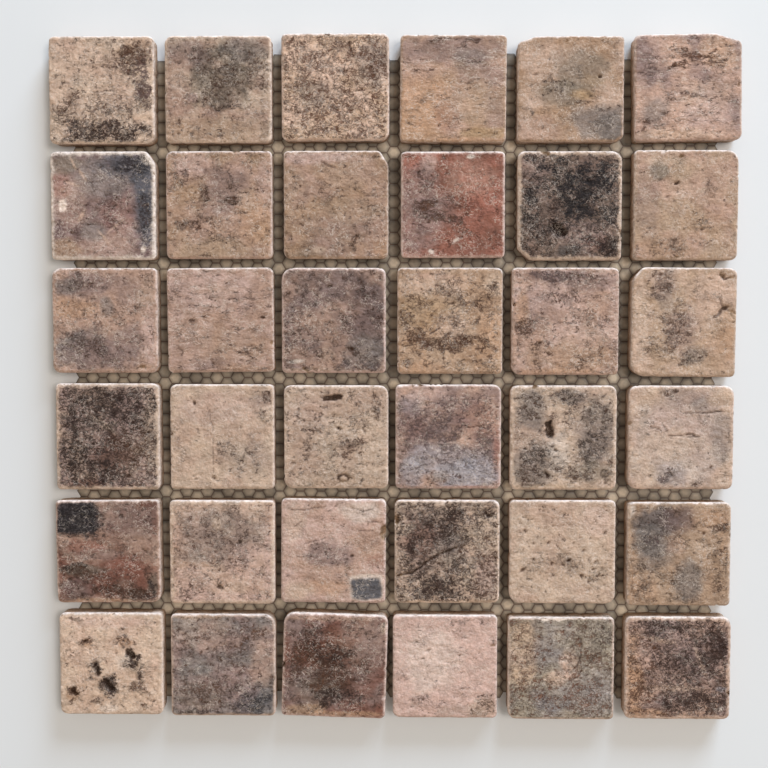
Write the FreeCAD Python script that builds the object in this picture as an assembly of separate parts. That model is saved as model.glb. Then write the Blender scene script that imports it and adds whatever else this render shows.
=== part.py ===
import FreeCAD, Part
import math
import os
from collections import namedtuple

# Sheet of worn square tiles, held at even joints by a net under them.
# Frame: origin at the middle of the net's underside, +Z up through the faces,
# +Y towards row 1, +X towards column 6.

# Tiles
TILE_SIDE = 47.0
TILE_THICKNESS = 10.0
JOINT = 3.8

# Rounding that wear gave the edges round the face, and the less worn ones round the back
FACE_ARRIS = 1.6
BACK_ARRIS = 1.0

# Rounding of the two ends of a broken-off corner, on top of the arris
BREAK_ROUNDING = 0.8

# Flats that stand for a quarter turn of an arris, a corner or the end of a pit, and for
# the whole bow of a chip
ARRIS_FLATS = 3
CORNER_FLATS = 4
PIT_FLATS = 3
CHIP_FLATS = 5

# Floor of a pit and foot of a chip, as a share of the mouth
PIT_FLOOR = 0.45
CHIP_FOOT = 0.3

# Net
NET_THICKNESS = 0.5
NET_MARGIN = 5.5

# How far a cutter stands clear of the face or side that it cuts
CUTTER_CLEARANCE = 1.0

PITCH = TILE_SIDE + JOINT
HALF_SIDE = TILE_SIDE / 2
FACE_LEVEL = NET_THICKNESS + TILE_THICKNESS
LEAST_CORNER = max(FACE_ARRIS, BACK_ARRIS)
UPRIGHT = FreeCAD.Vector(0, 0, 1)

# A chip is scooped out of one side. at: place along that side, -1 to 1, left to right or
# bottom to top. half_width and reach are measured on the face, depth down the side wall.
Chip = namedtuple("Chip", "side at half_width reach depth")

# A pit is a long hole in the face. at: place on the face in half sides. turn in degrees.
Pit = namedtuple("Pit", "at length width turn depth")

# sides: how far the left, right, top and bottom side stand out, as shares of the joint.
# drift: how far the top of the tile leans to the right, as a share of the joint.
# corners: top left, top right, bottom right, bottom left. A number is rounding on top of
# the arris, and a pair is a corner broken off (along X, along Y).
Tile = namedtuple("Tile", "sides drift corners chips pits")


def tile(sides, corners, drift=0.0, chips=(), pits=()):
    return Tile(sides, drift, corners, chips, pits)


ROW_1 = [
    tile((0.0, -0.2, 0.0, -0.1), (0.6, 1.4, 2.4, 1.4)),
    tile((0.0, -0.1, 0.0, -0.2), (2.0, 1.0, 1.0, 0.5)),
    tile((0.0, 0.0, 0.2, -0.4), (0.5, 1.4, 2.4, 1.4), chips=[Chip("top", -0.17, 2.2, 1.7, 3.0)]),
    tile((-0.2, 0.0, 0.0, -0.2), (0.4, 0.5, 0.4, 0.4), drift=0.1),
    tile((-0.2, 0.0, -0.2, -0.2), ((8.5, 2.8), 0.4, (3.6, 1.8), 0.4)),
    tile((-0.1, 0.0, 0.0, -0.3), (1.4, (11.5, 3.6), 1.4, 0.5), drift=-0.2),
]
ROW_2 = [
    tile((0.0, -0.2, 0.3, -0.2), (1.4, (3.8, 5.3), 0.5, 0.5)),
    tile((0.0, -0.1, 0.3, -0.3), (1.4, 0.5, 0.5, 1.0), chips=[Chip("top", 0.31, 6.8, 1.0, 2.5)]),
    tile((-0.2, -0.1, 0.3, -0.3), (0.4, (3.8, 6.2), 1.0, 1.4)),
    tile((-0.3, -0.1, 0.2, -0.4), (0.5, 0.4, 0.4, 0.4)),
    tile(
        (-0.3, -0.1, 0.2, -0.1),
        (1.4, 3.0, 0.5, (5.6, 5.0)),
        chips=[Chip("top", -0.45, 2.5, 2.2, 4.0), Chip("right", -0.5, 5.0, 1.0, 4.0)],
        pits=[Pit((-0.10, -0.46), 5.0, 3.6, -30, 2.2)],
    ),
    tile((-0.2, -0.2, 0.3, -0.1), (0.4, 3.4, 1.4, 0.4), pits=[Pit((-0.19, 0.44), 3.0, 2.4, 20, 2.0)]),
]
ROW_3 = [
    tile((0.0, -0.1, 0.3, -0.5), (2.0, 0.6, 1.4, 1.4), pits=[Pit((0.70, -0.80), 3.8, 1.9, 15, 1.4)]),
    tile((0.0, 0.0, 0.3, -0.6), (0.5, 1.0, 0.4, 0.6), drift=-0.1, pits=[Pit((-0.17, -0.72), 3.2, 1.2, -50, 1.0)]),
    tile((0.1, -0.4, 0.3, -0.5), (3.6, 1.4, 0.4, 0.4)),
    tile((0.1, -0.3, 0.3, -0.4), (0.4, 1.0, 0.4, 0.4)),
    tile((0.3, -0.3, 0.3, -0.3), (0.5, 1.0, 0.4, 2.4)),
    tile((-0.1, -0.2, 0.3, -0.1), ((4.6, 5.6), 1.4, 0.5, 4.4), drift=0.1),
]
ROW_4 = [
    tile((-0.2, 0.0, 0.3, -0.2), (0.5, 1.4, 0.5, 0.4)),
    tile(
        (-0.2, 0.0, 0.2, -0.3),
        (1.4, 0.5, 0.4, 0.5),
        chips=[Chip("left", 0.11, 1.6, 1.3, 3.0)],
        pits=[Pit((-0.52, 0.68), 2.8, 2.3, -40, 1.8)],
    ),
    tile((-0.1, -0.1, 0.1, -0.4), (1.4, 2.4, 1.4, 2.4), pits=[Pit((-0.07, 0.78), 9.2, 2.8, 8, 3.0)]),
    tile((0.3, -0.4, 0.2, -0.4), (0.5, 2.0, 1.0, 0.5), chips=[Chip("top", -0.63, 5.0, 1.2, 2.5)]),
    tile(
        (0.4, -0.4, 0.1, -0.3),
        (1.4, 2.0, 1.4, 0.5),
        chips=[Chip("top", -0.60, 1.5, 1.5, 5.0)],
        pits=[Pit((-0.33, 0.19), 8.2, 3.8, 96, 3.5), Pit((-0.36, -0.66), 3.2, 1.6, -35, 1.5)],
    ),
    tile((0.1, -0.3, 0.1, -0.4), (2.4, 2.4, 1.4, 2.4), pits=[Pit((0.13, 0.09), 5.0, 1.2, -3, 1.2)]),
]
ROW_5 = [
    tile((0.0, -0.1, 0.0, -0.2), (0.5, 0.4, 2.0, 1.0), drift=-0.1),
    tile((0.0, 0.0, 0.0, -0.1), (0.4, 0.5, 1.4, 0.5)),
    tile((0.3, -0.4, 0.2, -0.3), (0.5, 0.5, 0.4, 0.4), drift=0.1, chips=[Chip("right", 0.40, 4.6, 3.6, 6.0)]),
    tile((0.4, -0.5, 0.1, -0.3), (1.0, 1.4, 1.0, 1.0), chips=[Chip("left", 0.64, 3.0, 3.0, 4.0)]),
    tile((0.4, -0.4, 0.1, -0.3), (0.5, 0.5, 2.4, 3.4)),
    tile((0.1, -0.4, -0.1, -0.1), (0.4, 1.4, 0.5, 0.5), chips=[Chip("top", -0.29, 1.7, 1.6, 3.0)]),
]
ROW_6 = [
    tile(
        (-0.2, 0.1, 0.0, -0.2),
        (1.4, 0.5, 1.4, 1.4),
        pits=[
            Pit((0.38, 0.20), 6.0, 3.4, -45, 2.6),
            Pit((-0.26, -0.10), 7.0, 2.4, -75, 2.0),
            Pit((-0.04, -0.40), 7.4, 3.2, -50, 2.4),
            Pit((-0.70, -0.53), 5.0, 3.2, -50, 2.4),
        ],
    ),
    tile((0.0, 0.0, -0.1, -0.1), (0.5, 3.6, 1.0, 0.5)),
    tile((0.2, -0.3, 0.0, 0.0), (3.4, 1.4, 0.4, 0.4), drift=0.4, chips=[Chip("left", 0.0, 3.0, 1.0, 5.0)]),
    tile((0.6, -0.7, -0.1, 0.0), (0.4, 0.3, 0.4, 1.4)),
    tile((0.5, -0.4, -0.3, 0.1), (0.3, 0.4, 0.4, 2.4)),
    tile((0.2, -0.2, -0.2, 0.0), (1.4, 2.4, 1.0, 1.4), chips=[Chip("right", -0.5, 2.0, 1.6, 4.0)]),
]
SHEET = [ROW_1, ROW_2, ROW_3, ROW_4, ROW_5, ROW_6]


def vector(x, y, z=0.0):
    return FreeCAD.Vector(x, y, z)


def arc_points(centre, spoke, sweep, flats):
    """Points round an arc that starts at the end of the spoke, both ends included."""
    turns = [FreeCAD.Rotation(UPRIGHT, sweep * step / flats) for step in range(flats + 1)]
    return [centre + turn.multVec(spoke) for turn in turns]


def at_level(points, level):
    return [point + UPRIGHT * level for point in points]


def flat_face(points):
    return Part.Face(Part.makePolygon(points + points[:1]))


def stacked_solid(sections):
    """Solid between outlines with as many points each, whose like sides are parallel."""
    faces = [flat_face(sections[0]), flat_face(sections[-1])]
    for below, above in zip(sections, sections[1:]):
        for index in range(len(below)):
            faces.append(flat_face([below[index - 1], below[index], above[index], above[index - 1]]))
    solid = Part.makeSolid(Part.makeShell(faces))
    if solid.Volume < 0:
        solid.reverse()
    return solid


def side_distances(worn):
    """Distance of the left, right, top and bottom side from the tile's middle."""
    return [HALF_SIDE + share * JOINT for share in worn.sides]


def outline_corners(worn):
    """Corners of the side walls, clockwise from the top left, each with its rounding."""
    left, right, top, bottom = side_distances(worn)
    square = [(-left, top), (right, top), (right, -bottom), (-left, -bottom)]
    corners = []
    for index, (wear, (x, y)) in enumerate(zip(worn.corners, square)):
        if isinstance(wear, tuple):
            along_x, along_y = wear
            ends = [
                vector(x, y - math.copysign(along_y, y)),
                vector(x - math.copysign(along_x, x), y),
            ]
            if index % 2:
                ends.reverse()
            corners += [(end, BREAK_ROUNDING) for end in ends]
        else:
            corners.append((vector(x, y), wear))
    return corners


def outline(worn, inset, level):
    """Points of the tile's rounded outline at one level, set in from its side walls."""
    corners = outline_corners(worn)
    points = []
    for index, (corner, rounding) in enumerate(corners):
        after = corners[(index + 1) % len(corners)][0]
        to_before = (corners[index - 1][0] - corner).normalize()
        to_after = (after - corner).normalize()
        opening = to_before.getAngle(to_after)
        turn = 180 - math.degrees(opening)
        radius = LEAST_CORNER + rounding
        centre = corner + (to_before + to_after).normalize() * (radius / math.sin(opening / 2))
        spoke = vector(to_before.y, -to_before.x) * (radius - inset)
        points += arc_points(centre, spoke, -turn, max(1, round(CORNER_FLATS * turn / 90)))
    return at_level(points, level)


def tile_body(worn):
    """Upright side walls with a rounded arris below and above."""
    sections = []
    quarter = [math.pi / 2 * step / ARRIS_FLATS for step in range(ARRIS_FLATS + 1)]
    for angle in quarter:
        inset = BACK_ARRIS * (1 - math.sin(angle))
        rise = BACK_ARRIS * (1 - math.cos(angle))
        sections.append(outline(worn, inset, NET_THICKNESS + rise))
    for angle in quarter:
        inset = FACE_ARRIS * (1 - math.cos(angle))
        drop = FACE_ARRIS * (1 - math.sin(angle))
        sections.append(outline(worn, inset, FACE_LEVEL - drop))
    return stacked_solid(sections)


def mouth_share(foot_share, depth):
    """Size of a cutter where it stands clear above the face, as a share of its mouth."""
    return 1 + (1 - foot_share) / depth * CUTTER_CLEARANCE


def chip_section(chip, share, level):
    """Bow of a chip about the middle of its mouth, closed outside the side wall."""
    half_width = chip.half_width * share
    reach = chip.reach * share
    radius = (half_width ** 2 + reach ** 2) / (2 * reach)
    centre = vector(0, reach - radius)
    sweep = math.degrees(4 * math.atan(reach / half_width))
    bow = arc_points(centre, vector(half_width, 0) - centre, sweep, CHIP_FLATS)
    outside = [vector(end * half_width, -CUTTER_CLEARANCE * share) for end in (-1, 1)]
    return at_level(bow + outside, level)


def chip_cutter(worn, chip):
    """Scoop that leans in from the side wall to its full reach on the face."""
    left, right, top, bottom = side_distances(worn)
    along = chip.at * HALF_SIDE
    place, turn = {
        "left": (vector(-left, along), -90),
        "right": (vector(right, along), 90),
        "top": (vector(along, top), 180),
        "bottom": (vector(along, -bottom), 0),
    }[chip.side]
    foot = chip_section(chip, CHIP_FOOT, FACE_LEVEL - chip.depth)
    mouth = chip_section(chip, mouth_share(CHIP_FOOT, chip.depth), FACE_LEVEL + CUTTER_CLEARANCE)
    cutter = stacked_solid([foot, mouth])
    cutter.rotate(vector(0, 0), UPRIGHT, turn)
    cutter.translate(place)
    return cutter


def pit_section(pit, share, level):
    """Long round-ended outline of a pit, with its width shrunk to a share."""
    half_run = (pit.length - pit.width) / 2
    radius = pit.width / 2 * share
    right_end = arc_points(vector(half_run, 0), vector(0, -radius), 180, 2 * PIT_FLATS)
    left_end = arc_points(vector(-half_run, 0), vector(0, radius), 180, 2 * PIT_FLATS)
    return at_level(right_end + left_end, level)


def pit_cutter(pit):
    """Long hole that narrows towards its floor."""
    floor = pit_section(pit, PIT_FLOOR, FACE_LEVEL - pit.depth)
    mouth = pit_section(pit, mouth_share(PIT_FLOOR, pit.depth), FACE_LEVEL + CUTTER_CLEARANCE)
    cutter = stacked_solid([floor, mouth])
    cutter.rotate(vector(0, 0), UPRIGHT, pit.turn)
    cutter.translate(vector(*pit.at) * HALF_SIDE)
    return cutter


def worn_tile(worn, row, column):
    """One tile with its chips and pits, at its place in the sheet."""
    cutters = [chip_cutter(worn, chip) for chip in worn.chips]
    cutters += [pit_cutter(pit) for pit in worn.pits]
    body = tile_body(worn)
    if cutters:
        body = body.cut(cutters)
    lean = math.degrees(math.atan(worn.drift * JOINT / TILE_SIDE))
    body.rotate(vector(0, 0), UPRIGHT, -lean)
    across = column - (len(SHEET[0]) - 1) / 2
    up = (len(SHEET) - 1) / 2 - row
    body.translate(vector(across, up) * PITCH)
    return body.Solids[0]


def backing_net():
    """Plain sheet of the net's outer size, under all the tiles."""
    width = len(SHEET[0]) * PITCH - JOINT - 2 * NET_MARGIN
    length = len(SHEET) * PITCH - JOINT - 2 * NET_MARGIN
    return Part.makeBox(width, length, NET_THICKNESS, vector(-width / 2, -length / 2))


def save(name, shape):
    shape.exportStep(os.path.join("parts", name + ".step"))


def main():
    os.makedirs("parts", exist_ok=True)
    save("backing_net", backing_net())
    for row, tiles in enumerate(SHEET):
        for column, worn in enumerate(tiles):
            save(f"tile_row{row + 1}_column{column + 1}", worn_tile(worn, row, column))


main()
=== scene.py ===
import math
from collections import namedtuple

import bpy
import numpy as np
from mathutils import Matrix, Vector, geometry
from mathutils.bvhtree import BVHTree


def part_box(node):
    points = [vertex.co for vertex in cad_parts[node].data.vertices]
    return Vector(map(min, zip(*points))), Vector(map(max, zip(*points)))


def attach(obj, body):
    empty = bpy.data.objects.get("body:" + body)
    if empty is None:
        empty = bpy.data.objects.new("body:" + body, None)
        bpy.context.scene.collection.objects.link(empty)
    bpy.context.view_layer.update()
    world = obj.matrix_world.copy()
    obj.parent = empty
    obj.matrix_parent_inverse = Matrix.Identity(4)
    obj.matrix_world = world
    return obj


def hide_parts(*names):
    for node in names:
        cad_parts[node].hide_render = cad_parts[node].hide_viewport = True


# Sheet of worn clay tiles on a net. Every tile of the frame gets a dense mesh of its own,
# worked out in millimetres from the middle of the sheet and stored in metres.
MILLIMETRE = 0.001
ROWS = 6
COLUMNS = 6
PITCH = 50.8
HALF_SIDE = 23.5

# Grid of a tile's face: rings that follow the rounded edge, then even cells
ARRIS = 1.1
ARRIS_CELLS = 5
FACE_CELLS = 80

# Side walls: rings below the face, then the small rounding round the back
WALL_RINGS = 6
WALL_ROUGHNESS = 0.22
BACK_INSET = 0.2
BACK_ARRIS = 1.0
BACK_TURNS = (math.pi / 4, math.pi / 2)

# Stain on the walls, and the band above the foot in which they turn from tan to pale, the pale part
# painted to look lit
WALL_STAIN = 0.3
FOOT_BAND = (1, 6)

# Wear of the outline
LOOP_STEP = 0.25
LOOP_SMOOTHING = 0.5
EDGE_WEAR = 0.1
NICK_DEPTH = 0.4

# Arris of the frame's tiles, and the least and most depth of the chips and pits read there
CAD_ARRIS = 1.6
LEAST_HOLLOW = 0.25
MOST_HOLLOW = 6.0

# Clay that stays between the deepest hollow and the back
LEAST_CLAY = 2.5

# Depth of the slow waves and the fine roughness of a face
FACE_WAVES = 0.45
FACE_GRAIN = 0.21

# Depth of the fine pores, how much they thicken the stain, and how much it thins elsewhere
PORE_DEPTH = 0.32
PORE_STAIN = 0.3
STAIN_LOSS = 0.08

# Depth of a small pit as a share of its width, and its limit
PIT_DEPTH = 0.7
DEEPEST_PIT = 1.6

# Scattered pores, in half sides
PORE_LENGTHS = (0.02, 0.05)
PORE_WIDTH = 0.026

# Worn rim: share of its own clay, share of the stain that is gone there, and share of chalk
# over the arris, partly pale wear and partly painted highlight, with more of it along the top
# side as painted highlight and less along the bottom side as painted shade
RIM_SHARE = 0.85
RIM_STAIN_LOSS = 0.8
CHALK_AND_HIGHLIGHT = 0.4
PAINTED_HIGHLIGHT_ON_TOP = 0.5
PAINTED_SHADE_BELOW = 0.3

# Hollows show bare clay up to the first distance from the edge, and dark brown from the second on
BARE_TO = 2.5
DARK_FROM = 4.5
HOLLOW_SHARE = 0.85

NOISE_CELLS = 64

# Cells of the net: their pitch, how much of a cell lies inside its threads and inside its
# domed part, and the levels from the underside up
CELL_PITCH = 5.4
THREAD_SHARE = 0.86
DOME_SHARE = 0.45
NET_BACK = 0.02
THREAD_LEVEL = 0.26
EDGE_LEVEL = 0.34
DOME_LEVEL = 0.45
TOP_LEVEL = 0.48

# Painted shade of the film under the upright joints and painted highlight where joints cross, and how
# far from a joint line they reach
JOINT_REACH = 4.0
UPRIGHT_PAINTED_SHADE = 0.75
CROSSING_PAINTED_HIGHLIGHT = 1.3

# How far each kind of clay has its crinkles drawn out along X. A tile has drawn clay where
# its roughness is drawn out more than the last value.
GRAINS = {"even": 1.15, "drawn": 1.9}
DRAWN_FROM = 1.5

# Lens of the camera in millimetres, then its place and aim in metres
LENS = 53.0
CAMERA_PLACE = (0.0038, 0.0266, 0.5067)
CAMERA_AIM = (-0.0044, -0.0015, 0.0)

# Half side of the floor, in metres
FLOOR_HALF_SIDE = 2.0

# Clay, stain and hollow colours, and the chalk of the worn edge and painted highlight, as screen values
# from 0 to 255
PALETTE = {
    "pale": (226, 206, 190),
    "cream": (206, 177, 154),
    "bisque": (193, 161, 140),
    "buff": (178, 148, 124),
    "tan": (172, 138, 112),
    "ochre": (170, 138, 106),
    "orange": (188, 146, 116),
    "rose": (181, 146, 127),
    "pink": (198, 164, 150),
    "brick": (152, 98, 82),
    "russet": (126, 84, 70),
    "mauve": (138, 114, 106),
    "plum": (108, 86, 82),
    "umber": (93, 64, 49),
    "bistre": (64, 46, 39),
    "char": (54, 46, 46),
    "slate": (82, 80, 84),
    "smoke": (122, 112, 106),
    "olive": (122, 110, 96),
    "bloom": (158, 150, 152),
    "chalk_highlight": (246, 228, 218),
    "twine": (158, 145, 128),
}

# A patch of colour. x, y, half_width and half_height are in half sides of the tile from its
# middle. turn is in degrees. corners is 2 for an oval patch and more for a squarer one. A
# tint is even, and a stain breaks up into specks.
Patch = namedtuple(
    "Patch", "colour x y half_width half_height strength turn corners", defaults=(0.0, 2.0)
)

# ground and second are the two clay colours that mingle. rim is the clay of the worn edge,
# and rim_width how many times wider than usual that edge is. light makes a whole tile paler
# or darker. specks is how thick the dark specks lie all over. grain is how far the roughness
# is drawn out along X. pores is a count. A pit is (x, y, length, width, turn), also in half
# sides. A crack is its half width and depth in millimetres, then its points in half sides.
Look = namedtuple(
    "Look", "ground second rim rim_width light specks grain pores tints stains pits cracks"
)


def shares(hundredths):
    """Hundredths as plain shares."""
    return [number / 100 for number in hundredths]


def make_patch(colour, *numbers):
    """A patch from a tile's list, where all but its turn and corners are in hundredths."""
    return Patch(colour, *shares(numbers[:5]), *numbers[5:])


def look(
    ground, second, rim="", rim_width=1.0, light=1.0, specks=0.25, grain=1.5, pores=0,
    tints=(), stains=(), pits=(), cracks=(),
):
    """A tile's look, whose patches, pits and points of cracks are given in hundredths."""
    tints = [make_patch(*tint) for tint in tints]
    stains = [make_patch(*stain) for stain in stains]
    pits = [(*shares(pit[:4]), pit[4]) for pit in pits]
    cracks = [(width, depth, *map(shares, line)) for width, depth, *line in cracks]
    rim = rim or ground
    return Look(
        ground, second, rim, rim_width, light, specks, grain, pores, tints, stains, pits, cracks
    )


def ring(x, y, half_width, half_height):
    """Points round an oval crack, in hundredths."""
    turns = [math.radians(turn) for turn in range(0, 361, 40)]
    return [(x + half_width * math.cos(turn), y + half_height * math.sin(turn)) for turn in turns]
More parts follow.
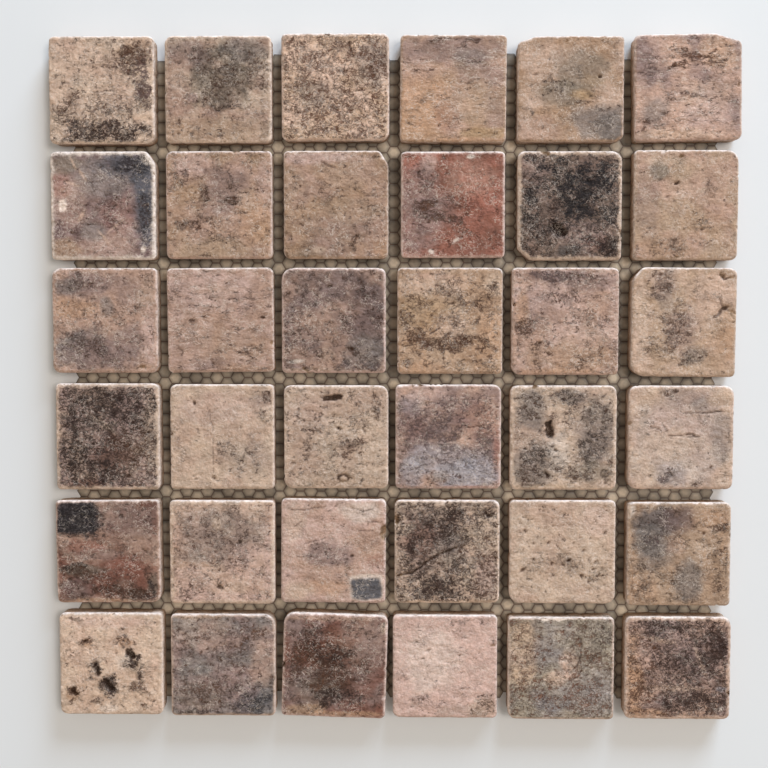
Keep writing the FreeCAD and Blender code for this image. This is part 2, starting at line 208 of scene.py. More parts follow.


# Each tile from row 1, left to right. Patches overlap, and later ones lie on earlier ones.
# Narrow bands along a tile's edges are mostly painted light: pale, cream, pink or rose ones along the
# top and right edges are painted highlights, and orange, ochre, tan or brick ones along the bottom and
# left edges are painted warm shade on the arris.
LOOKS = {
    (1, 1): look(
        "cream", "bisque", light=1.05, specks=0.34,
        tints=[("rose", -60, 60, 35, 35, 30), ("tan", 60, 75, 35, 25, 50)],
        stains=[
            ("umber", 58, 62, 42, 42, 85), ("plum", 80, 0, 24, 42, 85), ("umber", 25, 50, 30, 50, 52),
            ("umber", -65, -40, 35, 45, 62), ("umber", 10, -35, 85, 40, 55),
            ("bistre", 0, -75, 95, 24, 100),
        ],
        pits=[(26, 55, 5, 5, 0)],
        cracks=[(0.3, 0.3, (-23, 0), (-5, -2), (15, 1), (35, -2))],
    ),
    (1, 2): look(
        "cream", "rose", light=0.85, specks=0.3,
        tints=[
            ("olive", 5, 30, 65, 60, 70), ("smoke", 50, 75, 45, 25, 60), ("mauve", -60, 70, 40, 30, 70),
            ("rose", -75, 10, 25, 60, 60), ("tan", 0, -75, 100, 25, 60), ("pink", -47, -13, 9, 9, 80),
            ("bisque", -3, 47, 12, 11, 70), ("orange", -80, -70, 25, 25, 40),
        ],
        stains=[
            ("umber", 10, 30, 65, 60, 58), ("umber", 70, 40, 35, 60, 56),
            ("umber", -30, 80, 35, 20, 55), ("bistre", 15, -33, 40, 10, 70, -5),
            ("umber", -25, -15, 30, 25, 50),
        ],
        pits=[(-41, -91, 4, 4, 0), (-75, -80, 6, 4, -30)],
    ),
    (1, 3): look(
        "bisque", "buff", light=1.45, specks=0.56,
        tints=[("smoke", 70, 50, 30, 45, 45), ("smoke", -45, -5, 35, 25, 40)],
        stains=[
            ("umber", 75, 45, 28, 40, 85), ("umber", 45, 70, 30, 25, 75),
            ("umber", -45, 50, 30, 40, 70), ("umber", -50, -10, 35, 20, 80),
            ("umber", 75, -10, 25, 30, 80), ("umber", 10, -30, 60, 30, 70),
            ("umber", -20, -60, 60, 25, 70), ("umber", 50, -75, 40, 20, 60),
        ],
        cracks=[(0.5, 0.4, (27, 87), (30, 70), (34, 60))],
    ),
    (1, 4): look(
        "tan", "rose", light=1.05, specks=0.16, grain=3,
        tints=[
            ("mauve", 0, 72, 110, 30, 75), ("smoke", 30, 55, 35, 20, 50), ("mauve", 55, 30, 50, 35, 50),
            ("orange", -60, -35, 60, 60, 70), ("buff", 40, -30, 50, 40, 60),
            ("russet", -10, -50, 25, 30, 35), ("mauve", 80, -50, 20, 50, 40),
            ("ochre", 60, -80, 50, 12, 80), ("orange", 30, -95, 90, 8, 80),
        ],
        stains=[
            ("umber", -30, 90, 30, 6, 70), ("umber", 40, 85, 35, 6, 70, 5),
            ("umber", 30, 52, 20, 10, 40), ("umber", -20, -10, 60, 40, 30),
        ],
        pits=[(-25, -66, 6, 5, 10)],
    ),
    (1, 5): look(
        "tan", "bisque", light=0.95, specks=0.15,
        tints=[
            ("bisque", -50, 50, 35, 35, 50), ("olive", 20, 30, 50, 45, 60),
            ("olive", -15, -10, 50, 25, 60, -15), ("smoke", 55, -60, 60, 35, 70),
            ("smoke", 80, -70, 30, 30, 60), ("rose", -60, -75, 50, 25, 60),
            ("ochre", 25, -12, 22, 10, 90), ("ochre", 45, 15, 20, 12, 40),
        ],
        stains=[
            ("umber", -25, 10, 40, 8, 50, -10), ("umber", 30, -25, 30, 6, 60, -12),
            ("umber", -75, -35, 12, 15, 45), ("umber", 70, -50, 30, 30, 35),
            ("umber", -35, -5, 25, 12, 40),
        ],
        pits=[(-63, 27, 13, 3, 5), (-7, 87, 5, 5, 0), (55, 22, 7, 7, 0)],
    ),
    (1, 6): look(
        "rose", "mauve", light=1.25, specks=0.3, grain=2,
        tints=[
            ("tan", 60, 65, 35, 30, 50), ("mauve", -75, 40, 35, 50, 50),
            ("bisque", 30, -20, 50, 40, 40), ("pink", 40, -50, 50, 30, 40),
            ("smoke", -60, -40, 25, 25, 60), ("buff", -30, -85, 90, 12, 50),
        ],
        stains=[
            ("umber", 10, 62, 60, 9, 80, -6), ("umber", -20, 40, 25, 7, 85),
            ("umber", 50, 45, 40, 12, 50, -10), ("umber", 15, -15, 40, 7, 70),
            ("umber", -80, -65, 8, 15, 80), ("umber", 40, 10, 40, 15, 45),
            ("umber", 40, -40, 35, 10, 40),
        ],
        pits=[(93, 6, 6, 4, 60), (-25, 40, 10, 4, 0), (30, 57, 8, 3, -10)],
    ),
    (2, 1): look(
        "mauve", "plum", rim="pale", rim_width=1.6, light=1.3, specks=0.2,
        tints=[
            ("brick", -80, 45, 25, 25, 35), ("brick", 30, -15, 40, 35, 20),
            ("rose", 0, -75, 60, 30, 35), ("smoke", -10, 55, 60, 40, 60), ("slate", 78, 10, 26, 90, 95),
            ("slate", 35, 80, 50, 24, 85), ("olive", -70, 80, 30, 18, 60),
            ("smoke", -20, -45, 25, 20, 60), ("ochre", -75, -80, 30, 25, 40),
            ("pale", -77, 4, 7, 11, 95, 0, 4), ("bisque", -42, -15, 3, 14, 60, -30),
            ("bisque", -40, 62, 3, 14, 60, 35), ("bisque", -60, 45, 16, 3, 60, -20),
            ("pale", 73, -77, 5, 6, 80), ("bisque", -55, 80, 2, 16, 60, 25),
            ("bisque", 0, -55, 2, 18, 60, 40), ("bisque", 20, -35, 20, 2, 50, 40),
            ("pale", 97, 0, 5, 90, 80), ("pale", 85, 90, 12, 10, 90), ("rose", -60, 10, 30, 50, 30),
        ],
        stains=[
            ("char", 50, 78, 45, 24, 80), ("char", 75, -10, 22, 50, 65), ("umber", 10, 0, 70, 50, 42),
        ],
        pits=[(21.5, 4, 4, 4, 0)],
    ),
    (2, 2): look(
        "rose", "tan", light=0.95, specks=0.28,
        tints=[
            ("pink", -50, 80, 40, 20, 60), ("mauve", 10, 35, 45, 50, 65),
            ("orange", 70, -20, 40, 50, 50), ("pink", 85, 50, 20, 40, 50),
            ("buff", -20, -80, 80, 25, 80), ("bisque", 50, 15, 15, 20, 60),
            ("tan", -80, -20, 25, 50, 50),
        ],
        stains=[
            ("umber", 12, 55, 30, 25, 50), ("umber", -70, 55, 14, 10, 75),
            ("umber", -30, 20, 14, 22, 70), ("umber", 25, 10, 25, 10, 75, -20),
            ("umber", -55, -32, 25, 10, 70), ("umber", -25, -20, 20, 15, 60),
            ("umber", 0, -45, 40, 20, 45),
        ],
        pits=[(10, 13, 9, 3, -25), (24, 5, 9, 3, -45)],
    ),
    (2, 3): look(
        "tan", "rose", light=0.9, specks=0.26,
        tints=[
            ("pink", -30, 92, 80, 12, 90), ("bisque", 20, 60, 50, 30, 40), ("rose", 80, 30, 30, 50, 50),
            ("mauve", 0, -50, 70, 45, 35), ("buff", 30, -5, 50, 25, 50),
            ("olive", -50, -90, 50, 12, 30), ("orange", 85, -75, 15, 20, 50),
            ("buff", -80, 40, 25, 30, 40), ("cream", -30, -78, 14, 6, 60),
        ],
        stains=[
            ("umber", 35, -62, 16, 20, 75), ("umber", 45, 30, 40, 30, 35), ("umber", 5, 35, 20, 10, 40),
            ("umber", -70, -35, 30, 30, 35), ("umber", 80, 0, 20, 15, 45),
            ("umber", -30, 15, 50, 20, 30),
        ],
        pits=[(-66, 40, 6, 5, -30), (-59, 46, 4, 3, 0), (3, 35, 7, 3, -10)],
        cracks=[(0.6, 0.4, (-25, 85), (-12, 77), (0, 73)), (0.5, 0.3, (55, 22), (75, 20), (95, 20))],
    ),
    (2, 4): look(
        "brick", "russet", rim="pink", light=1.1, specks=0.22,
        tints=[
            ("pink", -42, 80, 14, 20, 70, -15), ("mauve", -60, 0, 50, 80, 70),
            ("mauve", -30, -10, 50, 30, 45), ("russet", 40, -50, 50, 40, 30),
            ("rose", 30, 55, 50, 35, 30), ("mauve", -60, -55, 35, 20, 40), ("pale", 35, 93, 8, 4, 90),
            ("pale", 8, -60, 6, 3, 70, 30), ("pale", -38, -82, 6, 4, 80, -30),
        ],
        stains=[
            ("umber", -50, 0, 30, 16, 80), ("umber", -15, -20, 50, 10, 75, -8),
            ("umber", -40, 45, 30, 8, 60, -15), ("umber", 0, -10, 60, 40, 45),
            ("umber", 10, -50, 50, 20, 40), ("umber", -50, 60, 40, 30, 40),
        ],
        pits=[(-62, 65, 4, 4, 0)],
    ),
    (2, 5): look(
        "bisque", "rose", rim="cream", rim_width=1.6, light=0.55, specks=0.55,
        tints=[
            ("mauve", 0, 0, 100, 100, 40), ("pink", -70, 70, 40, 30, 60), ("pink", 30, -50, 45, 30, 80),
            ("brick", 50, -65, 25, 15, 40), ("olive", -90, -30, 15, 50, 40),
            ("smoke", -5, -80, 25, 12, 80),
        ],
        stains=[
            ("char", 15, 30, 60, 55, 100), ("char", 65, 55, 35, 45, 95), ("char", -30, 75, 50, 20, 85),
            ("char", -70, 25, 22, 30, 85), ("char", -70, -20, 22, 30, 80), ("char", 30, -5, 40, 30, 95),
            ("bistre", 75, -75, 30, 20, 90), ("bistre", -25, -38, 35, 15, 80, -25),
            ("char", 75, -5, 25, 30, 80), ("bistre", -55, -50, 35, 30, 75),
            ("bistre", 40, -60, 50, 25, 60),
        ],
        pits=[(-20, -42, 30, 20, -35)],
    ),
    (2, 6): look(
        "buff", "rose", specks=0.2,
        tints=[
            ("olive", -50, 65, 18, 18, 80), ("mauve", -75, 10, 25, 60, 40),
            ("bisque", -10, 30, 30, 20, 50), ("rose", 50, 50, 40, 40, 40), ("tan", 30, -30, 40, 30, 40),
            ("cream", 30, 30, 10, 6, 50), ("cream", -40, 85, 50, 8, 40), ("tan", -40, -75, 50, 25, 60),
        ],
        stains=[
            ("umber", -40, -80, 50, 20, 45), ("umber", 30, -30, 20, 15, 50),
            ("umber", -10, 5, 30, 10, 35), ("umber", 40, 30, 40, 20, 30),
        ],
        pits=[
            (-35, 19, 12, 3, 5), (29, -41, 7, 4, 10), (-15, -92, 12, 4, 0), (73, 3, 4, 2, 30),
            (-10, 93, 8, 6, 0), (42, -65, 10, 2.5, 45), (35, 27, 8, 2, 70),
        ],
    ),
    (3, 1): look(
        "rose", "rose", rim_width=1.6, specks=0.3,
        tints=[
            ("mauve", -35, 72, 60, 25, 85), ("smoke", -70, 70, 25, 15, 50),
            ("orange", -65, 30, 40, 20, 60), ("mauve", 50, 60, 45, 30, 50),
            ("bisque", 80, 60, 20, 30, 50), ("smoke", 5, 35, 12, 20, 60),
            ("slate", -40, -40, 55, 35, 50), ("mauve", 40, -30, 40, 30, 70),
            ("smoke", -60, -50, 35, 30, 80), ("mauve", -10, -60, 70, 35, 85),
            ("pink", 85, -30, 15, 60, 80), ("tan", 80, -85, 20, 12, 50),
        ],
        stains=[
            ("umber", -50, 75, 50, 15, 50), ("plum", -40, -35, 45, 20, 60),
            ("umber", -10, -45, 45, 25, 55), ("umber", -70, -30, 25, 15, 50),
            ("umber", 30, 40, 30, 20, 35),
        ],
    ),
    (3, 2): look(
        "rose", "pink", light=0.9, specks=0.24, grain=3,
        tints=[
            ("pink", -30, 70, 90, 30, 50), ("tan", 20, -40, 80, 40, 40),
            ("orange", 40, -85, 60, 12, 60), ("mauve", -20, -75, 40, 15, 40),
            ("bisque", -10, 60, 50, 15, 30),
        ],
        stains=[
            ("umber", -45, 10, 40, 10, 40), ("umber", 10, 35, 80, 15, 35),
            ("umber", 65, -50, 15, 20, 50), ("umber", 0, -50, 80, 15, 35),
            ("umber", -80, -20, 15, 30, 40),
        ],
        pits=[(80, 11, 6, 4, 20), (96, -36, 7, 5, 90), (61, 20, 4, 2, 60)],
        cracks=[(0.5, 0.3, (-80, -45), (-72, -50), (-73, -60))],
    ),
    (3, 3): look(
        "mauve", "rose", rim="pink", light=0.85, specks=0.35,
        tints=[
            ("rose", -50, -10, 45, 30, 50), ("rose", 10, 30, 50, 20, 30), ("plum", 50, 30, 40, 50, 40),
            ("smoke", 60, -50, 40, 35, 70), ("mauve", -30, 75, 60, 25, 50),
            ("cream", -85, -90, 30, 8, 80), ("buff", -20, -90, 60, 10, 40),
            ("bisque", -15, -55, 12, 15, 50), ("pale", -75, -70, 15, 4, 80, 5),
            ("pink", -25, 30, 10, 3, 70, -40), ("pink", 15, 32, 8, 3, 70),
        ],
        stains=[
            ("umber", 50, 60, 40, 20, 55), ("umber", 15, 0, 50, 25, 45),
            ("umber", 30, -45, 30, 10, 70, -10), ("umber", -85, -15, 20, 15, 50),
            ("umber", 70, 10, 25, 40, 50), ("plum", 50, -80, 50, 15, 60),
            ("umber", -30, -60, 30, 10, 50),
        ],
        pits=[(-12, 70, 11, 5, 10), (-30, -61, 14, 3.5, -25), (28, -47, 12, 5, -15)],
        cracks=[(0.7, 0.6, (-60, -83), (-52, -92), (-35, -98))],
    ),
    (3, 4): look(
        "tan", "buff", light=1.1, specks=0.34,
        tints=[
            ("bisque", -30, 75, 70, 25, 60), ("cream", 80, 75, 20, 25, 60),
            ("orange", 75, -20, 30, 50, 50), ("ochre", -50, 20, 50, 40, 50),
            ("bisque", 0, -5, 35, 25, 60), ("rose", -30, 90, 40, 8, 50),
            ("orange", -50, -85, 60, 15, 50),
        ],
        stains=[
            ("umber", -20, -35, 70, 20, 80, 3), ("umber", -70, -22, 25, 20, 85),
            ("umber", 55, 50, 50, 25, 60, 15), ("umber", 0, 60, 30, 30, 50),
            ("umber", -85, 0, 15, 30, 65), ("umber", 40, -30, 40, 16, 75),
            ("umber", 60, -70, 40, 20, 50), ("umber", -60, 50, 40, 30, 50),
        ],
        pits=[(3, 39, 5, 5, 0), (-92, 39, 4, 4, 0), (89, 97, 7, 4, 70), (80, 70, 6, 3, 0)],
        cracks=[(0.6, 0.5, (-40, -17), (-20, -7)), (0.5, 0.4, (-5, 1), (8, 0))],
    ),
    (3, 5): look(
        "rose", "pink", specks=0.32,
        tints=[
            ("plum", -20, 90, 70, 12, 60), ("mauve", 30, 80, 70, 20, 60),
            ("mauve", -50, 30, 35, 40, 40), ("orange", -85, 30, 12, 40, 60),
            ("tan", 0, -60, 100, 30, 60), ("orange", 0, -92, 100, 10, 60),
            ("bisque", 30, -20, 50, 20, 40),
        ],
        stains=[
            ("plum", -35, 90, 50, 10, 80), ("umber", 40, 85, 45, 12, 60),
            ("umber", -80, -8, 20, 20, 80), ("umber", 0, 50, 70, 25, 45), ("umber", 70, 10, 20, 20, 50),
            ("umber", -50, -40, 35, 20, 50), ("umber", 60, -55, 25, 15, 50),
            ("umber", -50, -80, 40, 10, 40), ("umber", 10, -75, 20, 5, 60),
        ],
        pits=[
            (-52, -34, 7, 5, 0), (-59, -57, 5, 4, 0), (-35, -56, 8, 5, -45), (90, -76, 5, 4, 0),
            (-100, 35, 6, 5, 0), (75, -67, 4, 3, 0),
        ],
    ),
    (3, 6): look(
        "buff", "bisque", light=1.05, specks=0.18,
        tints=[
            ("mauve", -40, 70, 25, 30, 50), ("mauve", -5, -10, 35, 45, 45),
            ("smoke", -35, 40, 20, 20, 40), ("orange", 80, -25, 20, 40, 50),
            ("tan", 60, -50, 40, 30, 50), ("smoke", 15, -60, 25, 20, 50), ("cream", -80, 0, 15, 80, 40),
            ("bisque", 40, 60, 40, 30, 50),
        ],
        stains=[
            ("umber", -45, 68, 30, 30, 58), ("umber", -5, -15, 42, 50, 56),
            ("umber", -50, -40, 25, 30, 50), ("umber", 0, -60, 40, 25, 46),
            ("umber", -80, -30, 10, 20, 40),
        ],
        pits=[(75, 30, 12, 8, 20), (90, 22, 10, 5, -50), (70, 88, 15, 7, -60), (47, 84, 8, 3, -15)],
        cracks=[
            (0.7, 0.5, (55, 13), (65, 20), (72, 30), (95, 20)), (0.6, 0.4, (72, 30), (63, 50)),
            (0.6, 0.4, (85, 20), (95, 5)), (0.45, 0.3, (-20, 15), (-15, 32), (-2, 38), (10, 33)),
            (0.6, 0.5, (65, 93), (72, 83), (90, 87)),
        ],
    ),
    (4, 1): look(
        "pink", "bisque", rim="cream", rim_width=1.6, light=0.8, specks=0.66,
        tints=[
            ("mauve", 0, 20, 80, 80, 35), ("cream", 85, 0, 16, 90, 70), ("pink", 75, -70, 25, 20, 60),
            ("cream", 60, -20, 14, 12, 60), ("russet", 10, -30, 40, 35, 60),
            ("russet", -35, -85, 35, 12, 70), ("cream", -10, 30, 30, 6, 70, -35),
            ("cream", 5, 25, 15, 4, 60, 20),
        ],
        stains=[
            ("bistre", 0, 0, 100, 100, 65), ("bistre", 0, 65, 80, 40, 90),
            ("bistre", -60, 35, 30, 50, 90), ("bistre", 50, 50, 45, 50, 85),
            ("bistre", -60, -40, 40, 60, 85), ("bistre", 10, -10, 50, 20, 80),
            ("bistre", 0, -65, 45, 30, 95), ("umber", 50, -20, 40, 40, 75),
        ],
    ),
    (4, 2): look(
        "cream", "bisque", light=0.95, specks=0.12,
        tints=[
            ("pink", 0, 60, 90, 30, 40), ("mauve", 75, 75, 25, 15, 50), ("smoke", 50, -30, 50, 35, 25),
            ("rose", -25, 40, 15, 40, 40),
        ],
        stains=[
            ("umber", 30, -30, 50, 30, 42), ("umber", 80, 40, 20, 40, 40),
            ("umber", 85, 80, 12, 12, 70), ("umber", 50, -55, 40, 20, 40),
        ],
        pits=[(-15, -74, 8, 5, -30), (-49, -75, 6, 4, 0), (37, 23, 5, 3, 0), (-57, 77, 10, 2, -50)],
        cracks=[
            (0.35, 0.2, (-25, 60), (-15, 20), (-14, 0), (-16, -30), (-15, -70)),
            (0.5, 0.3, (-45, 20), (-42, 12)),
        ],
    ),
    (4, 3): look(
        "cream", "bisque", light=0.9, specks=0.3, pores=12,
        tints=[("pink", -50, 50, 40, 40, 30), ("buff", 10, -80, 80, 20, 40)],
        stains=[
            ("umber", 28, -8, 26, 13, 70), ("umber", -45, 27, 35, 15, 50),
            ("umber", 5, -30, 30, 12, 55), ("umber", -50, -20, 35, 30, 50),
            ("umber", 75, 65, 12, 35, 60), ("umber", 30, 65, 30, 12, 45),
            ("umber", -70, -60, 20, 20, 40), ("umber", 60, -35, 15, 10, 50),
        ],
        pits=[
            (6, 20, 10, 6, -25), (53, 16, 10, 5, -60), (-80, -45, 9, 4, -20), (-6, 42, 5, 3, 90),
            (10, -46, 5, 3, 90), (88, -42, 6, 3, 40),
        ],
        cracks=[(0.8, 0.6, *ring(14, -74, 10, 7))],
    ),
    (4, 4): look(
        "mauve", "rose", rim="pink", light=1.15, specks=0.36,
        tints=[
            ("pink", -40, 85, 40, 12, 50), ("brick", 50, 40, 45, 35, 25),
            ("brick", 90, -30, 12, 60, 50), ("russet", -70, 30, 30, 30, 30),
            ("bloom", -10, -35, 80, 30, 60), ("bloom", 30, -65, 60, 28, 80),
            ("bloom", -75, -60, 25, 35, 60), ("bloom", -70, 65, 25, 25, 25),
            ("cream", -20, -70, 20, 10, 30), ("brick", 40, -92, 60, 5, 70), ("plum", 0, 25, 80, 35, 30),
        ],
        stains=[
            ("plum", -30, 20, 80, 50, 60), ("plum", 0, -30, 60, 30, 55), ("umber", 60, 60, 40, 35, 50),
            ("umber", -20, -70, 70, 20, 50), ("plum", 70, -10, 30, 50, 55),
            ("plum", 10, 70, 70, 25, 50),
        ],
        cracks=[(0.4, 0.3, (27, 22), (50, 25), (70, 20))],
    ),
    (4, 5): look(
        "cream", "bisque", rim_width=1.6, light=0.95, specks=0.34, pores=14,
        tints=[
            ("smoke", -62, -45, 45, 50, 60), ("smoke", 62, 15, 48, 68, 62),
            ("smoke", -65, 55, 30, 40, 70), ("smoke", 12, 80, 30, 16, 60),
            ("olive", 50, -60, 45, 20, 60), ("pale", -15, -20, 20, 40, 50),
            ("ochre", -30, -92, 70, 8, 40),
        ],
        stains=[
            ("umber", -65, 60, 32, 36, 60), ("bistre", 10, 78, 30, 17, 66),
            ("umber", 60, 40, 42, 50, 56), ("bistre", 50, -5, 42, 45, 55),
            ("bistre", -60, -42, 45, 50, 58), ("umber", -75, -75, 25, 20, 60),
            ("umber", 15, -66, 50, 20, 62), ("umber", 85, -50, 15, 40, 55),
        ],
        pits=[
            (-22, -19, 6, 5, 0), (0, -23, 5, 4, 0), (15, -73, 6, 4, 0), (4, 56, 6, 3, 20),
            (0, -74, 5, 3, 0), (-70, -80, 5, 3, 0),
        ],
        cracks=[(0.5, 0.3, *ring(72, -64, 8, 6))],
    ),
    (4, 6): look(
        "bisque", "cream", specks=0.16, pores=8,
        tints=[
            ("bloom", 0, 0, 100, 100, 30), ("mauve", 0, 80, 45, 20, 50), ("smoke", 30, 65, 20, 15, 50),
            ("buff", 70, 75, 25, 12, 50), ("smoke", 75, 0, 20, 50, 40), ("pink", -10, 30, 50, 30, 40),
            ("bloom", -20, -65, 30, 25, 35), ("buff", -60, 80, 30, 15, 40),
            ("cream", -20, -10, 60, 30, 50),
        ],
        stains=[
            ("umber", -25, 90, 20, 10, 60), ("umber", -25, -60, 15, 12, 60, -45),
            ("plum", -40, -75, 20, 15, 60), ("umber", 30, -75, 20, 15, 40),
        ],
        pits=[
            (53, -52, 7, 5, 40), (48, -36, 6, 3, -20), (-100, 30, 8, 6, 90), (78, -79, 7, 3, -10),
            (-42, 57, 5, 3, 70), (-20, -65, 15, 3, -55),
        ],
        cracks=[
            (0.5, 0.3, (0, 50), (40, 52), (85, 52)), (0.5, 0.4, (-60, 25), (-45, 20)),
            (0.6, 0.4, (-40, 30), (-30, 17)), (0.5, 0.3, (-25, 8), (0, 8), (30, 5)),
        ],
    ),
    (5, 1): look(
        "russet", "rose", rim="rose", light=0.85, specks=0.3,
        tints=[
            ("mauve", 40, 60, 60, 40, 60), ("rose", 10, 20, 80, 25, 40), ("brick", -50, 10, 40, 15, 60),
            ("brick", 30, -30, 60, 20, 50), ("mauve", -20, -5, 40, 12, 50),
            ("olive", -50, -35, 50, 12, 70), ("olive", 30, -62, 20, 14, 50),
            ("plum", -60, -70, 40, 25, 70), ("russet", 20, -60, 70, 30, 50),
            ("orange", -10, -93, 60, 6, 80), ("olive", 85, -60, 10, 20, 60),
            ("slate", -62, 68, 42, 33, 85, 0, 5),
        ],
        stains=[
            ("char", -60, 68, 50, 42, 100, 0, 5), ("char", -80, 40, 20, 15, 70),
            ("char", -70, -33, 35, 10, 80), ("char", 55, -80, 42, 10, 95, -8),
            ("char", 85, -65, 12, 20, 80), ("umber", -40, -45, 50, 15, 65),
            ("umber", 0, -75, 80, 16, 65), ("umber", 80, -40, 20, 12, 60),
        ],
        pits=[(66, 5, 8, 3, -30), (72, 2, 5, 3, -45)],
    ),
    (5, 2): look(
        "rose", "bisque", rim="cream", rim_width=1.6, light=1.1, specks=0.34,
        tints=[
            ("smoke", 0, 35, 85, 55, 50), ("pink", 0, -88, 100, 14, 60), ("pink", 90, -20, 12, 70, 60),
            ("pink", 50, -20, 40, 40, 50), ("smoke", -50, -5, 30, 15, 50),
            ("cream", -10, 55, 10, 15, 50), ("pink", -50, -50, 40, 25, 40),
        ],
        stains=[
            ("umber", 0, 30, 90, 55, 48), ("umber", 10, -15, 70, 30, 46),
            ("umber", -5, -60, 20, 12, 50),
        ],
        pits=[(33, 19, 12, 5, 30), (-5, -66, 11, 7, -10), (-94, -22, 8, 4, 50)],
    ),
    (5, 3): look(
        "pink", "rose", specks=0.14,
        tints=[
            ("pale", 50, 80, 40, 20, 50), ("cream", -80, 60, 20, 40, 40),
            ("mauve", -15, -5, 50, 22, 70), ("rose", 65, 0, 30, 20, 60), ("brick", 75, -15, 20, 15, 30),
            ("orange", -20, -65, 40, 15, 40), ("cream", -75, -75, 30, 20, 60),
            ("pale", 57, -65, 34, 26, 70, 3, 6), ("slate", 57, -68, 31, 21, 95, 3, 6),
        ],
        stains=[("umber", -30, 5, 35, 12, 40, 5), ("umber", -10, -15, 40, 15, 40)],
        pits=[(29, -5, 7, 6, 0), (96, 40, 30, 15, 90), (-22, 49, 3, 3, 0)],
        cracks=[
            (0.45, 0.3, (-90, 85), (-70, 80), (-50, 85), (-20, 88)),
            (0.4, 0.3, (30, 88), (50, 80), (70, 85)), (0.6, 0.4, (65, 60), (80, 60)),
            (0.45, 0.3, (-80, 50), (-65, 60)), (0.4, 0.3, (40, 45), (70, 42)),
            (0.4, 0.3, (-60, 20), (-30, 25), (-20, 30)),
        ],
    ),
    (5, 4): look(
        "cream", "bisque", rim="cream", specks=0.6,
        tints=[
            ("mauve", -40, 30, 60, 70, 50), ("cream", 50, -55, 35, 15, 80),
            ("cream", 40, 30, 25, 12, 70), ("pink", 70, -40, 30, 40, 60), ("smoke", 0, 10, 30, 30, 50),
            ("cream", 90, 0, 10, 90, 50), ("russet", -60, 30, 35, 40, 50),
            ("orange", 0, -93, 90, 6, 50), ("cream", -85, 45, 20, 10, 80, 20),
        ],
        stains=[
            ("umber", -20, 10, 90, 90, 50), ("bistre", -20, 60, 80, 35, 90),
            ("bistre", -75, 20, 25, 50, 90), ("bistre", -30, -65, 60, 30, 100),
            ("bistre", 0, 50, 40, 35, 85), ("bistre", 70, 80, 30, 15, 85),
            ("umber", 60, -5, 40, 30, 60), ("bistre", 10, -30, 40, 30, 70),
        ],
        pits=[(66, 76, 14, 4, -60), (75, 72, 10, 5, 60)],
        cracks=[(0.7, 0.9, (-100, -42), (-75, -38), (-50, -20), (-20, 0), (10, 10))],
    ),
    (5, 5): look(
        "cream", "bisque", light=0.95, specks=0.16, pores=60,
        tints=[("buff", 0, -30, 80, 30, 35), ("pink", 60, 60, 30, 30, 40)],
        stains=[("umber", 10, -20, 60, 30, 35), ("umber", 55, -40, 30, 30, 45)],
        pits=[
            (-33, 21, 8, 5, 60), (-16, 15, 14, 3, -55), (-60, -11, 7, 5, 0), (5, -13, 8, 6, 40),
            (-5, -21, 6, 4, 0), (57, -16, 12, 5, 35), (30, -42, 7, 7, 0), (74, 40, 7, 4, 80),
            (56, 62, 10, 3, -60), (-5, 72, 10, 3, 80), (-71, 64, 6, 4, 90), (-76, 43, 7, 6, 0),
            (-26, -19, 5, 6, 0), (33, 5, 8, 4, 30), (53, -29, 9, 4, 20), (-82, -32, 12, 6, 50),
            (-24, -40, 8, 3, -50), (75, 90, 5, 3, 0), (-64, -50, 6, 4, -20), (43, -53, 5, 6, 0),
        ],
    ),
    (5, 6): look(
        "buff", "tan", rim_width=1.6, light=0.95, specks=0.3,
        tints=[
            ("slate", -45, 65, 50, 30, 75), ("plum", -10, 70, 35, 28, 60),
            ("smoke", -60, 25, 35, 35, 80), ("smoke", -50, -5, 40, 30, 50),
            ("smoke", 15, -50, 30, 40, 70), ("orange", 60, 60, 35, 30, 40),
            ("orange", -70, -65, 30, 20, 35), ("cream", 60, 45, 20, 8, 50),
            ("cream", 20, 12, 40, 4, 60), ("pale", -95, 85, 10, 15, 80), ("rose", -5, 15, 20, 15, 50),
        ],
        stains=[
            ("umber", 70, 50, 30, 14, 75, -15), ("plum", -50, 30, 30, 25, 60),
            ("umber", 75, -60, 30, 35, 50), ("umber", -10, -35, 30, 30, 45, -45),
            ("umber", 75, 0, 20, 30, 50), ("umber", -70, -60, 30, 30, 50),
        ],
        pits=[(42, 40, 5, 5, 0)],
    ),
    (6, 1): look(
        "cream", "bisque", rim_width=1.6, light=1.15, specks=0.2, pores=70,
        tints=[
            ("buff", 0, -50, 100, 50, 30), ("pink", 0, 85, 90, 15, 40), ("pale", 25, 5, 15, 15, 40),
            ("pale", 0, -85, 20, 8, 50), ("orange", -45, 43, 13, 10, 70), ("orange", 30, 44, 16, 8, 70),
            ("orange", -72, -58, 12, 12, 60),
        ],
        stains=[
            ("umber", 30, 43, 22, 12, 75), ("umber", -45, 43, 14, 12, 80),
            ("bistre", 40, 12, 20, 20, 85), ("bistre", -28, -5, 12, 20, 80),
            ("bistre", -5, -40, 20, 24, 85), ("bistre", 57, -20, 7, 25, 75),
            ("umber", 58, -47, 25, 7, 75), ("umber", -70, -58, 15, 18, 75),
            ("umber", -25, -75, 20, 8, 55), ("umber", 65, -85, 12, 10, 65), ("umber", 23, 73, 8, 7, 70),
            ("umber", -60, 86, 25, 6, 50),
        ],
        pits=[
            (-46, 46, 8, 5, 30), (26, 47, 5, 4, 0), (36, 42, 7, 3, -30), (50, 0, 9, 4, -50),
            (57, -20, 6, 3, 90), (57, -33, 6, 3, 80), (45, -47, 7, 2, 8), (66, -45, 6, 2, 8),
            (-25, -73, 10, 3, -15), (-30, 2, 5, 4, 0), (-22, -16, 7, 4, 40), (65, -87, 6, 3, 20),
            (-10, -33, 6, 4, 30), (4, -28, 5, 3, 60), (46, 6, 5, 4, 0),
        ],
    ),
    (6, 2): look(
        "mauve", "smoke", rim="bisque", light=1.3, specks=0.42,
        tints=[
            ("rose", 75, 10, 25, 50, 50), ("bisque", -40, 60, 60, 40, 30),
            ("slate", 60, -70, 40, 30, 50), ("tan", -50, 95, 50, 6, 60),
            ("olive", -50, -60, 50, 30, 40),
        ],
        stains=[
            ("umber", -20, -55, 90, 50, 60), ("char", 60, -70, 50, 35, 62),
